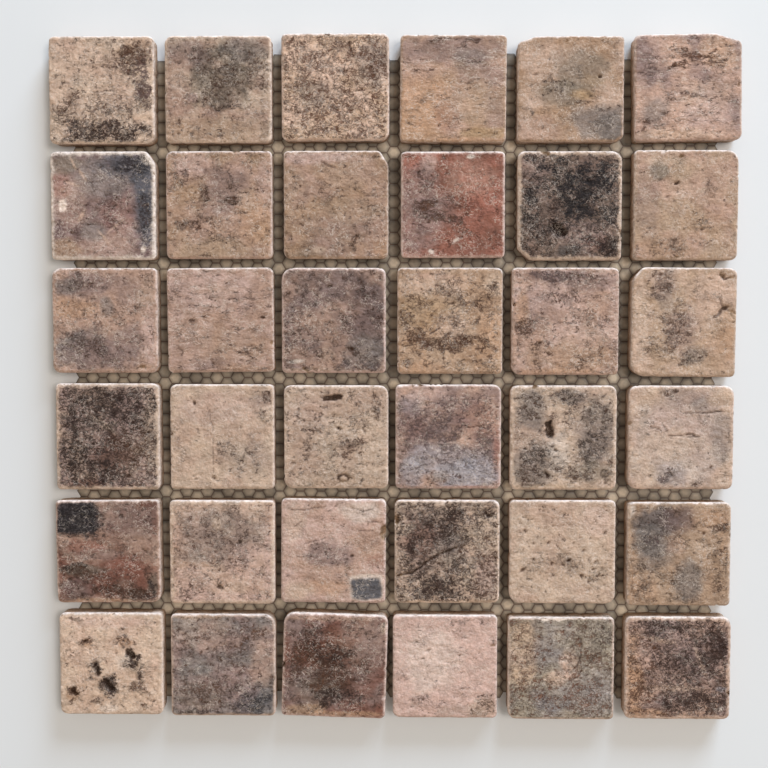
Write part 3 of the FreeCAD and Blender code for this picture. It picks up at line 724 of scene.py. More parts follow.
            ("umber", 55, 65, 25, 30, 60), ("umber", 0, 10, 60, 40, 50), ("bistre", 0, -93, 90, 6, 80),
        ],
    ),
    (6, 3): look(
        "russet", "mauve", rim="pink", specks=0.35,
        tints=[
            ("rose", 0, 93, 90, 7, 80), ("rose", 50, 50, 50, 50, 40), ("mauve", 60, 10, 35, 50, 40),
            ("umber", -10, 0, 55, 60, 60), ("olive", -50, -50, 40, 35, 40),
            ("tan", -60, -85, 35, 12, 80), ("orange", 10, -93, 80, 6, 70), ("cream", 90, 72, 8, 12, 80),
        ],
        stains=[
            ("bistre", -5, 15, 40, 24, 95), ("bistre", -50, 40, 40, 40, 75),
            ("umber", -20, -30, 60, 30, 80), ("bistre", -5, -65, 50, 15, 80),
            ("umber", -70, 0, 25, 60, 70), ("umber", 60, -10, 30, 40, 40),
        ],
    ),
    (6, 4): look(
        "pink", "pink", light=1.1, specks=0.12, pores=10,
        tints=[
            ("pale", -40, 10, 60, 60, 35), ("buff", 70, -80, 40, 20, 50),
            ("olive", 20, -85, 40, 12, 30), ("pink", 50, 0, 50, 50, 30),
        ],
        stains=[
            ("umber", 30, 80, 50, 15, 40), ("umber", 70, -75, 35, 25, 50),
            ("umber", -40, -70, 50, 15, 35), ("umber", 85, 40, 12, 12, 50),
        ],
        pits=[
            (-42, 31, 10, 4, 10), (17, 20, 5, 4, 0), (-65, 47, 4, 4, 0), (80, 40, 10, 4, 10),
            (30, 30, 10, 2, 50), (-53, 15, 6, 4, 0),
        ],
    ),
    (6, 5): look(
        "olive", "smoke", rim="bisque", light=2, specks=0.5,
        tints=[
            ("tan", -80, 30, 30, 70, 40), ("smoke", -35, 30, 25, 30, 50), ("rose", 12, 0, 20, 30, 60),
            ("olive", 55, 40, 50, 70, 75), ("bisque", -15, -22, 25, 16, 50),
            ("slate", -20, -72, 40, 16, 40), ("smoke", 50, -50, 50, 45, 60),
            ("pale", -15, 93, 30, 6, 70),
        ],
        stains=[
            ("umber", 60, 20, 45, 70, 60), ("umber", 30, -60, 70, 40, 66),
            ("umber", -70, 50, 30, 50, 50), ("umber", -60, -40, 40, 40, 60),
            ("bistre", 75, 60, 25, 30, 62),
        ],
        cracks=[
            (0.4, 0.4, (30, 55), (32, 35), (28, 10), (10, -15)),
            (0.35, 0.3, (62, 25), (40, 0), (10, -30)),
        ],
    ),
    (6, 6): look(
        "rose", "mauve", rim="bisque", rim_width=1.6, light=1.2, specks=0.62,
        tints=[
            ("mauve", 10, 20, 80, 80, 50), ("orange", -85, -20, 18, 75, 90),
            ("orange", -60, -90, 50, 10, 70), ("pink", -65, 25, 25, 30, 40),
            ("bisque", -35, 52, 30, 5, 80, -10), ("bisque", 40, 10, 5, 35, 70, 20),
            ("bisque", -10, -40, 50, 7, 70), ("pink", 0, 60, 30, 20, 40), ("bloom", 80, -42, 12, 6, 80),
            ("pale", 80, -80, 5, 5, 70),
        ],
        stains=[
            ("umber", -60, 50, 30, 30, 70), ("umber", -50, 0, 30, 60, 70),
            ("bistre", -20, 80, 60, 20, 85), ("bistre", 65, 40, 40, 60, 95),
            ("bistre", 45, -65, 60, 25, 97), ("bistre", -10, 15, 40, 30, 85),
            ("bistre", 10, -15, 50, 25, 80), ("russet", -20, -70, 40, 15, 80),
            ("bistre", 0, -65, 50, 20, 80), ("bistre", 30, 60, 40, 30, 70),
        ],
        cracks=[(0.5, 0.4, (45, 20), (60, -15), (85, -35), (95, -35))],
    ),
}


# Colour and noise
def linear(colour):
    """Scene-linear values of a named screen colour."""
    return np.array([(value / 255) ** 2.2 for value in PALETTE[colour]])


def blend(under, over, share):
    """Colours that go from under to over by each point's share."""
    return under + (over - under) * share[:, None]


def smooth_step(low, high, values):
    share = np.clip((values - low) / (high - low), 0, 1)
    return share * share * (3 - 2 * share)


def smooth_noise(x, y, cell, seed):
    """Gentle bumps about one cell wide, from about -1 to 1."""
    turns = np.random.default_rng(seed).uniform(0, 2 * math.pi, (NOISE_CELLS, NOISE_CELLS))
    column = np.floor(x / cell).astype(int)
    row = np.floor(y / cell).astype(int)
    across = x / cell - column
    up = y / cell - row
    total = np.zeros_like(across)
    for right in (0, 1):
        for above in (0, 1):
            turn = turns[(column + right) % NOISE_CELLS, (row + above) % NOISE_CELLS]
            slope = np.cos(turn) * (across - right) + np.sin(turn) * (up - above)
            near = smooth_step(1, 0, np.abs(across - right)) * smooth_step(1, 0, np.abs(up - above))
            total += slope * near
    return 1.7 * total


def cloud(x, y, cell, seed, octaves=3):
    """Rough noise, each octave half as wide and a bit over half as strong as the one before."""
    total = np.zeros_like(x)
    whole = 0.0
    for octave in range(octaves):
        share = 0.6 ** octave
        total += share * smooth_noise(x, y, cell / 2 ** octave, seed + octave)
        whole += share
    return total / whole * 1.4


# Outline and grid of a tile
def lengths_along(points):
    """Length of a line of points from its start to each of them."""
    steps = np.linalg.norm(np.diff(points, axis=0), axis=1)
    return np.concatenate([[0], np.cumsum(steps)])


def points_at(places, along, points):
    """Points of a line at the given lengths along it."""
    return np.column_stack([np.interp(places, along, points[:, axis]) for axis in (0, 1)])


def dense_loop(points, step):
    """Closed loop through the points, with evenly spaced points about a step apart."""
    closed = np.vstack([points, points[:1]])
    along = lengths_along(closed)
    count = int(along[-1] / step)
    return points_at(np.arange(count) * along[-1] / count, along, closed)


def smooth_loop(points, reach):
    """The loop with its sharp turns rounded off inwards."""
    half = max(1, int(reach / LOOP_STEP))
    return sum(np.roll(points, shift, axis=0) for shift in range(-half, half + 1)) / (2 * half + 1)


def inward(points):
    """Unit vectors that point into an anticlockwise loop."""
    along = np.roll(points, -1, axis=0) - np.roll(points, 1, axis=0)
    normals = np.column_stack([-along[:, 1], along[:, 0]])
    return normals / np.linalg.norm(normals, axis=1)[:, None]


def tile_loop(node, seed):
    """Worn outline of a CAD tile seen from above, anticlockwise."""
    corners = [Vector((v.co.x, v.co.y)) for v in node.data.vertices]
    hull = np.array([corners[i] for i in geometry.convex_hull_2d(corners)]) / MILLIMETRE
    x, y = hull[:, 0], hull[:, 1]
    if (x * np.roll(y, -1) - y * np.roll(x, -1)).sum() < 0:
        hull = hull[::-1]
    loop = smooth_loop(dense_loop(hull, LOOP_STEP), LOOP_SMOOTHING)
    wear = 0.5 + 0.5 * cloud(loop[:, 0], loop[:, 1], 7.0, seed)
    nicks = smooth_step(0.45, 1.0, cloud(loop[:, 0], loop[:, 1], 2.4, seed + 7))
    return loop + inward(loop) * (EDGE_WEAR * np.clip(wear, 0, 1) + NICK_DEPTH * nicks)[:, None]


def four_sides(loop, middle, spacing):
    """Bottom, right, top and left side, each from one diagonal of the tile to the next."""
    angles = np.degrees(np.arctan2(loop[:, 1] - middle[1], loop[:, 0] - middle[0]))
    starts = [np.abs(angles - diagonal).argmin() for diagonal in (-135, -45, 45, 135)]
    sides = []
    for start, end in zip(starts, starts[1:] + starts[:1]):
        count = (end - start) % len(loop)
        side = loop[(start + np.arange(count + 1)) % len(loop)]
        along = lengths_along(side)
        sides.append(points_at(spacing * along[-1], along, side))
    return sides


def grid_spacing():
    """Places of the grid lines across a face, 0 to 1, closer together over the arris."""
    turns = np.linspace(0, math.pi / 2, ARRIS_CELLS + 1)
    edge = ARRIS * (1 - np.cos(turns))
    middle = np.linspace(ARRIS, 2 * HALF_SIDE - ARRIS, FACE_CELLS + 1)[1:-1]
    return np.concatenate([edge, middle, 2 * HALF_SIDE - edge[::-1]]) / (2 * HALF_SIDE)


def face_grid(sides, spacing):
    """Grid of points between the four sides, each row from left to right, bottom row first."""
    bottom, right, top, left = sides
    top, left = top[::-1], left[::-1]
    u = spacing[None, :, None]
    v = spacing[:, None, None]
    across = (1 - u) * left[:, None] + u * right[:, None]
    up = (1 - v) * bottom[None] + v * top[None]
    corners = (1 - u) * (1 - v) * bottom[0] + u * (1 - v) * bottom[-1]
    corners = corners + (1 - u) * v * top[0] + u * v * top[-1]
    return across + up - corners


def rim_indices(size):
    """Grid indices round the edge of a square grid, anticlockwise from the bottom left."""
    last = size - 1
    steps = np.arange(last)
    return np.concatenate(
        [steps, steps * size + last, last * size + last - steps, (last - steps) * size]
    )


def distance_to(points, line, closed):
    """Distance of each point from a line of straight pieces."""
    starts = line if closed else line[:-1]
    ends = np.roll(line, -1, axis=0) if closed else line[1:]
    nearest = np.full(len(points), np.inf)
    for start, end in zip(starts, ends):
        run = end - start
        share = np.clip(((points - start) @ run) / max(run @ run, 1e-9), 0, 1)
        away = np.linalg.norm(points - start - share[:, None] * run, axis=1)
        nearest = np.minimum(nearest, away)
    return nearest


# Wear of the face. Each noise has its own offset from the tile's seed.
def worn_radius(x, y, seed):
    """Radius of the rounded edge, larger where it has worn more."""
    radius = ARRIS * (1 + 0.3 * cloud(x, y, 8.0, seed + 40))
    return radius + 1.2 * smooth_step(0.5, 1.2, cloud(x, y, 3.4, seed + 43))


def worn_drop(style, x, y, edge, radius, pore, density, seed):
    """How far the arris, waves, grain and pores take the face down."""
    inner = np.clip(radius - edge, 0, radius)
    drop = radius - np.sqrt(np.maximum(radius ** 2 - inner ** 2, 0))
    drop = drop + FACE_WAVES * np.clip(0.5 + 0.5 * cloud(x, y, 17.0, seed + 50, 2), 0, 1)
    drop += FACE_GRAIN * (1 + cloud(x / style.grain, y, 2.4, seed + 53, 3))
    drop += PORE_DEPTH * pore * (0.3 + 0.7 * density)
    return np.maximum(drop, 0)


def ellipse(x, y, middle, patch, ragged):
    """0 at the middle of a patch and about 1 at its edge."""
    turn = math.radians(patch.turn)
    across = x - middle[0] - patch.x * HALF_SIDE
    up = y - middle[1] - patch.y * HALF_SIDE
    along = (across * math.cos(turn) + up * math.sin(turn)) / (patch.half_width * HALF_SIDE)
    beside = (up * math.cos(turn) - across * math.sin(turn)) / (patch.half_height * HALF_SIDE)
    reach = np.abs(along) ** patch.corners + np.abs(beside) ** patch.corners
    return reach ** (1 / patch.corners) + ragged * 2 / patch.corners


def cad_hollows(node, x, y, edge):
    """How far the chips and pits of a CAD tile lie below its face and arris."""
    tree = BVHTree.FromPolygons(
        [v.co for v in node.data.vertices], [p.vertices for p in node.data.polygons]
    )
    face = max(v.co.z for v in node.data.vertices)
    down = Vector((0, 0, -1))
    drops = np.zeros(len(x))
    for index, (px, py) in enumerate(zip(x * MILLIMETRE, y * MILLIMETRE)):
        hit = tree.ray_cast(Vector((px, py, face + 0.01)), down)[0]
        drops[index] = (face - hit.z) / MILLIMETRE if hit else 0.0
    inner = np.clip(CAD_ARRIS - edge, 0, CAD_ARRIS)
    rounding = CAD_ARRIS - np.sqrt(CAD_ARRIS ** 2 - inner ** 2)
    return np.clip(drops - rounding - LEAST_HOLLOW, 0, MOST_HOLLOW)


def random_pores(count, seed):
    """Small pits scattered over a face."""
    chance = np.random.default_rng(seed + 5)
    places = chance.uniform(-0.9, 0.9, (count, 2))
    lengths = chance.uniform(*PORE_LENGTHS, count)
    turns = chance.uniform(0, 180, count)
    return [(x, y, length, PORE_WIDTH, turn) for (x, y), length, turn in zip(places, lengths, turns)]


def hollows(node, style, x, y, middle, edge, seed):
    """Depth of the chips, pits and cracks at each point, and how far they darken it."""
    blur_x = 0.8 * cloud(x, y, 2.2, seed + 60)
    blur_y = 0.8 * cloud(x, y, 2.2, seed + 63)
    depth = cad_hollows(node, x + blur_x, y + blur_y, edge)
    depth *= np.clip(1 + 0.5 * cloud(x, y, 1.6, seed + 76), 0, 1)
    dark = smooth_step(0.15, 1.2, depth)
    ragged = 0.45 * cloud(x, y, 1.5, seed + 66)
    for across, up, length, width, turn in [*style.pits, *random_pores(style.pores, seed)]:
        deepest = min(DEEPEST_PIT, PIT_DEPTH * width * HALF_SIDE)
        mouth = Patch("bistre", across, up, length / 2, width / 2, deepest, turn)
        share = smooth_step(1.35, 0.6, ellipse(x, y, middle, mouth, ragged))
        depth = np.maximum(depth, share * deepest)
        dark = np.maximum(dark, share * min(1, 0.5 + 0.4 * deepest))
    places = np.column_stack([x, y])
    wander = 0.5 * np.column_stack([cloud(x, y, 4.0, seed + 70), cloud(x, y, 4.0, seed + 73)])
    for half_width, deepest, *line in style.cracks:
        crack = middle + np.array(line) * HALF_SIDE
        away = distance_to(places + wander, crack, closed=False)
        share = smooth_step(half_width, half_width * 0.3, away)
        depth = np.maximum(depth, share * deepest)
        dark = np.maximum(dark, share * min(1, 0.4 + deepest))
    return depth, dark


# Colours of a tile
def clay_colour(style, x, y, middle, seed):
    """Clay colour and stain colour with its density, at each point."""
    mingle = smooth_step(-0.5, 0.6, cloud(x, y, 16.0, seed))
    clay = blend(linear(style.ground), linear(style.second), mingle)
    ragged = 0.42 * cloud(x, y, 9.0, seed + 20, 5)
    for patch in style.tints:
        soft = 0.7 / patch.corners
        share = smooth_step(0.95 + soft, 0.95 - soft, ellipse(x, y, middle, patch, ragged))
        clay = blend(clay, linear(patch.colour), share * patch.strength)
    density = np.full(len(x), style.specks) + 0.12 * cloud(x, y, 11.0, seed + 30)
    wobble_x = x + 3.0 * cloud(x, y, 8.0, seed + 23)
    wobble_y = y + 3.0 * cloud(x, y, 8.0, seed + 26)
    stain = np.tile(linear("umber"), (len(x), 1))
    for patch in style.stains:
        away = ellipse(wobble_x, wobble_y, middle, patch, ragged)
        share = smooth_step(1.6, 0.25, away) * patch.strength
        stain = blend(stain, linear(patch.colour), np.clip(share * 2, 0, 1))
        density = np.maximum(density, share)
    density *= 1 + 0.3 * cloud(x, y, 4.0, seed + 33)
    return clay * style.light, stain * style.light, np.clip(density, 0, 1)


def rim_colour_and_highlight(style, clay, density, x, y, middle, edge, radius, seed):
    """Clay and density with the worn rim laid on, and chalk over the arris that is partly wear and
    partly painted highlight, palest along the top side and with painted shade along the bottom side.
    """
    ragged_edge = edge / radius + 0.4 * style.rim_width * cloud(x, y, 2.2, seed + 90, 4)
    worn = smooth_step(1.3 * style.rim_width, 0.4 * style.rim_width, ragged_edge)
    clay = blend(clay, linear(style.rim), RIM_SHARE * worn)
    # Painted highlight along the top side and painted shade along the bottom side: the chalk's share
    # follows the side an arris faces
    across = np.abs(x - middle[0]) / HALF_SIDE
    lit_top_side = smooth_step(-0.04, 0.03, (y - middle[1]) / HALF_SIDE - across)
    shaded_bottom_side = smooth_step(-0.04, 0.03, (middle[1] - y) / HALF_SIDE - across)
    chalk_and_highlight_share = CHALK_AND_HIGHLIGHT + PAINTED_HIGHLIGHT_ON_TOP * lit_top_side - PAINTED_SHADE_BELOW * shaded_bottom_side
    clay = blend(clay, linear("chalk_highlight"), chalk_and_highlight_share * smooth_step(0.8, 0.1, ragged_edge))
    return clay, density * (1 - RIM_STAIN_LOSS * worn)


def hollow_colour(clay, dark, edge):
    """Clay with its hollows laid on: dark brown in the face, bare ochre clay near the edge."""
    broken = blend(linear("bistre"), linear("ochre") * 0.8, smooth_step(DARK_FROM, BARE_TO, edge))
    return blend(clay, broken, HOLLOW_SHARE * dark)


def wall_colour_painted_lit(walls, foot, seed):
    """Pale streaky clay, painted paler than the face so that the walls look lit in the joints, that
    darkens towards the foot.
    """
    streaks = smooth_step(-0.6, 0.8, cloud(walls[:, 0] + walls[:, 1], walls[:, 2], 5.0, seed + 95))
    clay = blend(linear("cream"), linear("pale"), streaks)
    low, high = FOOT_BAND
    fade = smooth_step(foot + low, foot + high, walls[:, 2])
    # Painted light: the pale clay times 1.15 makes the walls look lit
    return blend(linear("tan"), clay * 1.15, fade)


# Mesh of a tile
def wall_rings(x, y, level, back, seed):
    """Rings of points from below the rim down the side walls and round the back."""
    rim = np.column_stack([x, y])
    to_inside = inward(rim)
    foot = back + BACK_ARRIS
    rings = []
    for step in range(1, WALL_RINGS + 1):
        height = level + (foot - level) * step / WALL_RINGS
        rough = WALL_ROUGHNESS * (1 + cloud(x + 0.9 * height, y - 1.1 * height, 4.5, seed + 80))
        rings.append(np.column_stack([rim + to_inside * np.clip(rough, 0, 1)[:, None], height]))
    for turn in BACK_TURNS:
        inset = BACK_INSET + BACK_ARRIS * (1 - math.cos(turn))
        height = np.full(len(rim), foot - BACK_ARRIS * math.sin(turn))
        rings.append(np.column_stack([rim + to_inside * inset, height]))
    return rings


def tile_faces(size, rim):
    """Faces of the grid, of the rings round it and of the back."""
    faces = []
    for up in range(size - 1):
        for across in range(size - 1):
            low = up * size + across
            faces.append((low, low + 1, low + size + 1, low + size))
    rings = [list(rim)]
    for step in range(WALL_RINGS + len(BACK_TURNS)):
        start = size * size + step * len(rim)
        rings.append(list(range(start, start + len(rim))))
    for above, below in zip(rings, rings[1:]):
        for index in range(len(rim)):
            after = (index + 1) % len(rim)
            faces.append((above[index], below[index], below[after], above[after]))
    faces.append(tuple(reversed(rings[-1])))
    return faces


def tile_mesh(node, style, row, column):
    """Points, faces, clay colours, and stain colours with their density, of one worn tile."""
    seed = 100 * row + 10 * column
    middle = np.array([(column - (COLUMNS + 1) / 2) * PITCH, ((ROWS + 1) / 2 - row) * PITCH])
    levels = [v.co.z / MILLIMETRE for v in node.data.vertices]
    face, back = max(levels), min(levels)
    spacing = grid_spacing()
    sides = four_sides(tile_loop(node, seed), middle, spacing)
    grid = face_grid(sides, spacing).reshape(-1, 2)
    x, y = grid[:, 0], grid[:, 1]
    rim = rim_indices(len(spacing))
    edge = distance_to(grid, grid[rim], closed=True)

    radius = worn_radius(x, y, seed)
    clay, stain, density = clay_colour(style, x, y, middle, seed)
    pore = smooth_step(0.2, 0.8, cloud(x / style.grain, y, 1.7, seed + 56, 2))
    drop = worn_drop(style, x, y, edge, radius, pore, density, seed)
    depth, dark = hollows(node, style, x, y, middle, edge, seed)
    level = np.maximum(face - drop - depth, back + LEAST_CLAY)
    walls = np.vstack(wall_rings(x[rim], y[rim], level[rim], back, seed))
    points = np.vstack([np.column_stack([x, y, level]), walls])

    density = np.clip(density + PORE_STAIN * pore - STAIN_LOSS, 0, 1)
    clay, density = rim_colour_and_highlight(style, clay, density, x, y, middle, edge, radius, seed)
    clay = hollow_colour(clay, dark, edge)
    clay = np.vstack([clay, wall_colour_painted_lit(walls, back + BACK_ARRIS, seed)])
    stain = np.vstack([stain, np.tile(linear("umber"), (len(walls), 1))])
    density = np.concatenate([density, np.full(len(walls), WALL_STAIN)])
    return points, tile_faces(len(spacing), rim), clay, np.column_stack([stain, density])


def add_piece(name, points, faces, node_name, material):
    """A mesh that takes the place of a CAD node."""
    mesh = bpy.data.meshes.new(name)
    mesh.from_pydata((points * MILLIMETRE).tolist(), [], faces)
    mesh.materials.append(material)
    mesh.shade_smooth()
    piece = bpy.data.objects.new(name, mesh)
    bpy.context.scene.collection.objects.link(piece)
    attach(piece, "root")
    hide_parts(node_name)
    return piece


def paint(mesh, name, colours):
    """Stores a colour for each point, opaque where no fourth value is given."""
    if colours.shape[1] == 3:
        colours = np.column_stack([colours, np.ones(len(colours))])
    layer = mesh.attributes.new(name, "FLOAT_COLOR", "POINT")
    layer.data.foreach_set("color", colours.astype(np.float32).ravel())


# Materials
def give(tree, socket, value):
    """Links a socket to another one, or sets it to a value."""
    if isinstance(value, bpy.types.NodeSocket):
        tree.links.new(value, socket)
    else:
        socket.default_value = value


def add_node(tree, kind, settings=None, **inputs):
    """A shader node whose inputs are linked to sockets or set to values."""
    made = tree.nodes.new("ShaderNode" + kind)
    for name, value in (settings or {}).items():
        setattr(made, name, value)
    for name, value in inputs.items():
        give(tree, made.inputs[name], value)
    return made


def math_node(tree, operation, *values):
    made = add_node(tree, "Math", {"operation": operation})
    for socket, value in zip(made.inputs, values):
        give(tree, socket, value)
    return made.outputs[0]


def ramp(tree, value, low, high, start=0.0, end=1.0):
    """Smooth step of a value from start to end."""
    made = add_node(tree, "MapRange", {"interpolation_type": "SMOOTHSTEP"}, Value=value)
    for name, number in zip(("From Min", "From Max", "To Min", "To Max"), (low, high, start, end)):
        made.inputs[name].default_value = number
    return made.outputs[0]


def mix(tree, share, under, over, blend_type="MIX"):
    """Colour mix node."""
    made = add_node(tree, "Mix", {"data_type": "RGBA", "blend_type": blend_type})
    for index, value in ((0, share), (6, under), (7, over)):
        give(tree, made.inputs[index], value)
    return made.outputs[2]


def noise(tree, where, scale, detail=4.0, roughness=0.6, distortion=0.0):
    made = add_node(
        tree, "TexNoise", Vector=where, Scale=scale, Detail=detail, Roughness=roughness,
        Distortion=distortion,
    )
    return made.outputs[0]


def beside_lines(tree, where, *settings):
    """0 along the wandering lines where a noise has its middle value, and more beside them."""
    from_middle = math_node(tree, "SUBTRACT", noise(tree, where, *settings), 0.5)
    return math_node(tree, "ABSOLUTE", from_middle)


def new_material(name):
    material = bpy.data.materials.new(name)
    material.use_nodes = True
    material.node_tree.nodes.clear()
    return material


def finish_shader(tree, colour, **inputs):
    """Joins a Principled shader of that colour to the material's output."""
    shader = add_node(tree, "BsdfPrincipled", **inputs)
    give(tree, shader.inputs["Base Color"], colour)
    output = add_node(tree, "OutputMaterial")
    tree.links.new(shader.outputs[0], output.inputs[0])
    return shader


def dark_crinkles(tree, drawn, clusters, density):
    """Crinkles in clusters, wider and darker where the stain is thick."""
    line = beside_lines(tree, drawn, 620.0, 4.0, 0.6, 0.8)
    width = math_node(tree, "MULTIPLY_ADD", density, 0.15, -0.165)
    width = math_node(tree, "MULTIPLY_ADD", clusters, 0.22, width)
    inside = ramp(tree, math_node(tree, "SUBTRACT", width, line), -0.02, 0.012, 0.0, 1.0)
    return math_node(tree, "MULTIPLY", inside, math_node(tree, "MULTIPLY_ADD", density, 0.4, 0.55))


def stain_wash(tree, density):
    """Even share of the stain, which closes up where it is thickest."""
    thin = ramp(tree, density, 0.25, 1.0, 0.0, 0.38)
    thick = ramp(tree, density, 0.66, 0.95, 0.0, 0.6)
    return math_node(tree, "MAXIMUM", thin, thick)


def painted_highlight_veins(tree, where, drawn, wash):
    """Painted highlights: pale lines in parts of the face, fewer where the stain covers it."""
    line = ramp(tree, beside_lines(tree, drawn, 500.0, 4.0, 0.6, 0.8), 0.0, 0.036, 1.0, 0.0)
    zone = ramp(tree, noise(tree, where, 150.0, 4.0, 0.6), 0.42, 0.58, 0.0, 0.6)
    zone = math_node(tree, "MULTIPLY", zone, ramp(tree, wash, 0.3, 0.6, 1.0, 0.3))
    return math_node(tree, "MULTIPLY", line, zone)


def clay_material(name, grain):
    """Worn clay. The mesh says where each clay and stain lies, and noise breaks them up."""
    material = new_material(name)
    tree = material.node_tree
    where = add_node(tree, "TexCoord").outputs["Object"]
    drawn = add_node(tree, "Mapping", Vector=where, Scale=(1 / grain, 1, 1)).outputs[0]
    clay = add_node(tree, "Attribute", {"attribute_name": "clay"}).outputs["Color"]
    stained = add_node(tree, "Attribute", {"attribute_name": "stain"})
    stain, density = stained.outputs["Color"], stained.outputs["Alpha"]

    # Stain in washes and crinkles
    clusters = noise(tree, drawn, 280.0, 5.0, 0.65)
    dark = dark_crinkles(tree, drawn, clusters, density)
    wash = stain_wash(tree, density)
    colour = mix(tree, dark, mix(tree, wash, clay, stain), stain)

    # Uneven firing and fine grit, whose raised grains are painted paler, partly their own tone and
    # partly painted highlight
    mottle = ramp(tree, noise(tree, where, 230.0, 6.0, 0.65), 0.3, 0.7, 0.84, 1.16)
    grit = noise(tree, where, 900.0, 3.0, 0.6)
    colour = mix(tree, 1.0, colour, mottle, "MULTIPLY")
    colour = mix(tree, 1.0, colour, ramp(tree, grit, 0.35, 0.65, 0.9, 1.12), "MULTIPLY")

    # Creases in the rough parts of a face, darkened towards the stain as painted shade, and pale veins
    # that are painted highlights
    zone = noise(tree, where, 120.0, 3.0, 0.55)
    rough = ramp(tree, math_node(tree, "MULTIPLY_ADD", density, 0.5, zone), 0.56, 0.86, 0.0, 1.0)
    creases_with_painted_shade = ramp(tree, beside_lines(tree, drawn, 430.0, 3.0, 0.55, 1.2), 0.0, 0.035, 1.0, 0.0)
    creases_with_painted_shade = math_node(tree, "MULTIPLY", creases_with_painted_shade, rough)
    # Painted shade in the creases
    colour = mix(tree, math_node(tree, "MULTIPLY", creases_with_painted_shade, 0.3), colour, stain)
    colour = mix(tree, painted_highlight_veins(tree, where, drawn, wash), colour, (*linear("pale"), 1.0))

    # Relief: crinkles, clusters and creases are sunken, and grit stands out between them
    height = math_node(tree, "MULTIPLY", grit, math_node(tree, "MULTIPLY_ADD", rough, 0.9, 0.45))
    for sunken, depth in ((dark, 0.7), (clusters, 1.4), (creases_with_painted_shade, 0.5)):
        height = math_node(tree, "MULTIPLY_ADD", sunken, -depth, height)
    bump = add_node(tree, "Bump", Height=height, Strength=1.0, Distance=0.0007)
    roughness = ramp(tree, noise(tree, where, 700.0, 3.0), 0.3, 0.7, 0.72, 0.94)
    shader = finish_shader(tree, colour, Roughness=roughness, Normal=bump.outputs[0])
    shader.inputs["Specular IOR Level"].default_value = 0.3
    return material


def net_material():
    """Hot-melt film of a net: grey cells, brown threads whose brown is painted shade, and paler where
    light reaches it.
    """
    material = new_material("net_film")
    tree = material.node_tree
    where = add_node(tree, "TexCoord").outputs["Object"]
    film = add_node(tree, "Attribute", {"attribute_name": "film"}).outputs["Color"]
    patchy = ramp(tree, noise(tree, where, 60.0, 5.0), 0.35, 0.65, 0.6, 1.25)
    colour = mix(tree, 1.0, film, patchy, "MULTIPLY")
    pimples = noise(tree, where, 1600.0, 3.0)
    bump = add_node(tree, "Bump", Height=pimples, Strength=0.4, Distance=0.0002)
    roughness = ramp(tree, noise(tree, where, 600.0), 0.3, 0.7, 0.42, 0.62)
    finish_shader(tree, colour, Roughness=roughness, Normal=bump.outputs[0])
    return material


# Net
def painted_joint_light(x, y):
    """Painted shade darkens the net in the upright joints, and a painted highlight makes the crossings
    pale.
    """
    from_upright = abs(x / PITCH - round(x / PITCH)) * PITCH
    from_level = abs(y / PITCH - round(y / PITCH)) * PITCH
    if from_upright > JOINT_REACH:
        return 1.0
    return CROSSING_PAINTED_HIGHLIGHT if from_level < JOINT_REACH else UPRIGHT_PAINTED_SHADE


def cell_centres(low, high):
    """Centres of the net's cells, in columns that step by half a cell."""
    side = CELL_PITCH / math.sqrt(3)
    columns = int((high[0] - low[0] - 2 * side) / (1.5 * side)) + 1
    rows = int((high[1] - low[1] - 1.5 * CELL_PITCH) / CELL_PITCH) + 1
    for column in range(columns):
        for row in range(rows):
            x = (column - (columns - 1) / 2) * 1.5 * side
            y = (row - (rows - 1) / 2 + (0.25 if column % 2 else -0.25)) * CELL_PITCH
            yield x, y


def net_mesh(node):
    """Film of six-sided cells, domed between sunken threads, with a flat underside."""
    low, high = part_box(node)
    low, high = np.array(low) / MILLIMETRE, np.array(high) / MILLIMETRE
    side = CELL_PITCH / math.sqrt(3)
    turns = [math.radians(60 * step) for step in range(6)]
    corners = np.array([(side * math.cos(turn), side * math.sin(turn)) for turn in turns])
    # Threads and cell edges are painted darker as the shade along the threads
    film, edge_film_with_painted_shade, thread_with_painted_shade = linear("twine") * 1.5, linear("twine") * 0.85, linear("umber") * 0.8
    points, faces, colours, found = [], [], [], {}

    def point(x, y, level, colour):
        """Index of a point, which cells that meet there share."""
        key = (round(x, 2), round(y, 2), level)
        if key not in found:
            found[key] = len(points)
            points.append((x, y, level))
            colours.append(colour)
        return found[key]

    def cell_ring(x, y, share, level, colour):
        return [point(x + cx * share, y + cy * share, level, colour) for cx, cy in corners]

    for x, y in cell_centres(low, high):
        # Painted shade in the upright joints and painted highlight at the crossings
        painted_light = painted_joint_light(x, y)
        outer = cell_ring(x, y, 1.0, THREAD_LEVEL, thread_with_painted_shade)
        under = cell_ring(x, y, 1.0, NET_BACK, edge_film_with_painted_shade)
        inside = cell_ring(x, y, THREAD_SHARE, EDGE_LEVEL, edge_film_with_painted_shade * painted_light)
        dome = cell_ring(x, y, DOME_SHARE, DOME_LEVEL, film * painted_light)
        top = point(x, y, TOP_LEVEL, film * painted_light)
        for index in range(6):
            after = (index + 1) % 6
            faces.append((outer[index], outer[after], inside[after], inside[index]))
            faces.append((inside[index], inside[after], dome[after], dome[index]))
            faces.append((dome[index], dome[after], top))
        faces.append(tuple(reversed(under)))
    return np.array(points), faces + skin_walls(points, faces), np.array(colours)


def skin_walls(points, faces):
    """Faces that close the open edges between the net's upper skin and its underside."""
    edges = {}
    for face in faces:
        for start, end in zip(face, face[1:] + face[:1]):
            edges[start, end] = (end, start)
    open_edges = [edge for edge, reverse in edges.items() if reverse not in edges]

    def place(index):
        return tuple(round(value, 2) for value in points[index][:2])

    below = {place(start): start for start, end in open_edges if points[start][2] == NET_BACK}
    return [
        (end, start, below[place(start)], below[place(end)])
        for start, end in open_edges
        if points[start][2] > NET_BACK
    ]


def add_net():
    """The net, flat under the tiles."""
    points, faces, colours = net_mesh("backing_net")
    net = add_piece("net_of_threads", points, faces, "backing_net", net_material())
    paint(net.data, "film", colours)


